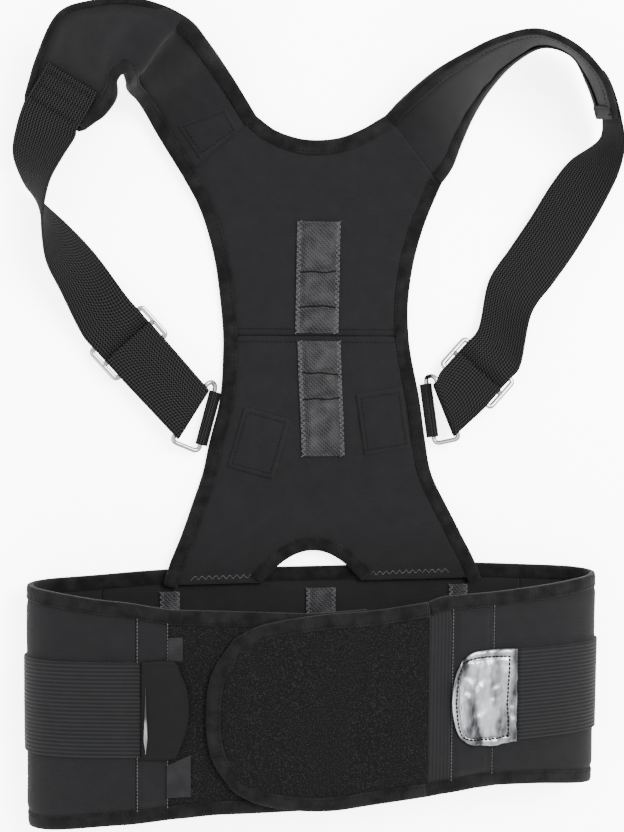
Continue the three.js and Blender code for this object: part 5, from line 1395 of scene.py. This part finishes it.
    def ring(self, name, corners, looks):
        r, path = WIRE / 2, []
        n = (corners[2] - corners[0]).cross(corners[3] - corners[1]).normalized()
        for i, c in enumerate(corners):
            a = c + (corners[i - 1] - c).normalized() * WIRE_BEND
            b = c + (corners[(i + 1) % 4] - c).normalized() * WIRE_BEND
            path += [a * (1 - t) ** 2 + c * 2 * t * (1 - t) + b * t * t for t in (k / 8 for k in range(9))]
        rings = []
        for i, p in enumerate(path):
            t = (path[(i + 1) % len(path)] - path[i - 1]).normalized()
            o = t.cross(n).normalized()
            m = o.cross(t).normalized()
            turns = (2 * math.pi * k / WIRE_SIDES for k in range(WIRE_SIDES))
            rings.append([p + o * r * math.cos(a) + m * r * math.sin(a) for a in turns])
        tube(f"{name}_ring_wire", path, rings, looks["nickel"], "nickel", (f"{name}_ring",), closed=True)

    def slider(self, name, hub, x, run, up, looks):
        """A pressed frame with rounded bars: an outer loop and a middle bar"""
        w, t = SLIDER_BAR / 2, SLIDER_THICK / 2
        L, H, r = SLIDER_LENGTH / 2 - w, SLIDER_WIDTH / 2 - w, 2.2
        path = []
        x1, y1 = L - r, H - r
        for cx, cy, a0 in ((x1, -y1, -90), (x1, y1, 0), (-x1, y1, 90), (-x1, -y1, 180)):
            for k in range(7):
                a = math.radians(a0 + 15 * k)
                path.append((cx + r * math.cos(a), cy + r * math.sin(a)))
        world = lambda a, b, c: hub + x * a + run * b + up * c
        m, n, rings = 14, len(path), []
        oval = [(w * math.cos(2 * math.pi * k / m), t * math.sin(2 * math.pi * k / m)) for k in range(m)]
        for i, (px, py) in enumerate(path):
            qx, qy = path[(i + 1) % n][0] - path[i - 1][0], path[(i + 1) % n][1] - path[i - 1][1]
            q = math.hypot(qx, qy)
            rings.append([world(px + a * qy / q, py - a * qx / q, c) for a, c in oval])
        middle = [world(px, py, 0) for px, py in path]
        tube(f"{name}_slider_frame", middle, rings, looks["nickel"], "nickel", (f"{name}_slider",),
             closed=True)
        ends = [-L, -L / 2, 0, L / 2, L]
        rings = [[world(e, a, c) for a, c in oval] for e in ends]
        tube(f"{name}_slider_bar", [world(e, 0, 0) for e in ends], rings, looks["nickel"], "nickel")


class BRACE_OT_stage(bpy.types.Operator):
    """White floor, soft light from above and the right, and the camera"""
    bl_idname = "brace.stage"
    bl_label = "Stage"

    def execute(self, context):
        mesh = bpy.data.meshes.new("floor")
        sides = ((-1, -1), (1, -1), (1, 1), (-1, 1))
        mesh.from_pydata([(a * FLOOR_HALF, b * FLOOR_HALF, FLOOR_Z) for a, b in sides], [], [(0, 1, 2, 3)])
        paper, tree, bsdf = blank("white_paper_sweep", Roughness=0.9)
        bsdf.inputs["Base Color"].default_value = context.scene.brace.floor_colour
        bsdf.inputs["Emission Color"].default_value = (1, 1, 1, 1)
        bsdf.inputs["Emission Strength"].default_value = FLOOR_GLOW
        mesh.materials.append(paper)
        floor = bpy.data.objects.new("floor", mesh)
        context.collection.objects.link(floor)
        world = bpy.data.worlds.new("soft_room")
        world.use_nodes = True
        world.node_tree.nodes["Background"].inputs[0].default_value = (1, 1, 1, 1)
        world.node_tree.nodes["Background"].inputs[1].default_value = ROOM_GLOW
        context.scene.world = world
        for name, place, size, watts in LAMPS:
            data = bpy.data.lights.new(name, "AREA")
            data.size, data.energy = size, watts
            lamp = bpy.data.objects.new(name, data)
            lamp.location = place
            lamp.rotation_euler = (Vector((0, 0.15, 0)) - Vector(place)).to_track_quat("-Z", "Y").to_euler()
            context.collection.objects.link(lamp)
        data = bpy.data.cameras.new("camera")
        data.sensor_width, data.lens = CAMERA_SENSOR, CAMERA_LENS
        camera = bpy.data.objects.new("camera", data)
        turn = Matrix(CAMERA_AXES).transposed().to_4x4()
        camera.matrix_world = Matrix.Translation(CAMERA_PLACE) @ turn
        context.collection.objects.link(camera)
        context.scene.camera = camera
        return {"FINISHED"}


class BRACE_PT_panel(bpy.types.Panel):
    """Builds the brace piece by piece"""
    bl_label = "Posture corrector"
    bl_idname = "BRACE_PT_panel"
    bl_space_type = "VIEW_3D"
    bl_region_type = "UI"
    bl_category = "Brace"

    def draw(self, context):
        settings = context.scene.brace
        for key in ("stitch_pitch", "stitch_thickness", "swell", "floor_colour"):
            self.layout.prop(settings, key)
        for step in BUILD_ORDER:
            self.layout.operator("brace." + step)


BUILD_ORDER = ("stage", "belt", "flap", "bands", "panel", "loops")
CLASSES = (BraceSettings, BRACE_OT_belt, BRACE_OT_flap, BRACE_OT_bands, BRACE_OT_panel, BRACE_OT_loops,
           BRACE_OT_stage, BRACE_PT_panel)


def register():
    for cls in CLASSES:
        bpy.utils.register_class(cls)
    bpy.types.Scene.brace = PointerProperty(type=BraceSettings)


def unregister():
    del bpy.types.Scene.brace
    for cls in reversed(CLASSES):
        bpy.utils.unregister_class(cls)


def main():
    register()
    for step in BUILD_ORDER:
        getattr(bpy.ops.brace, step)()


if __name__ == "__main__":
    main()
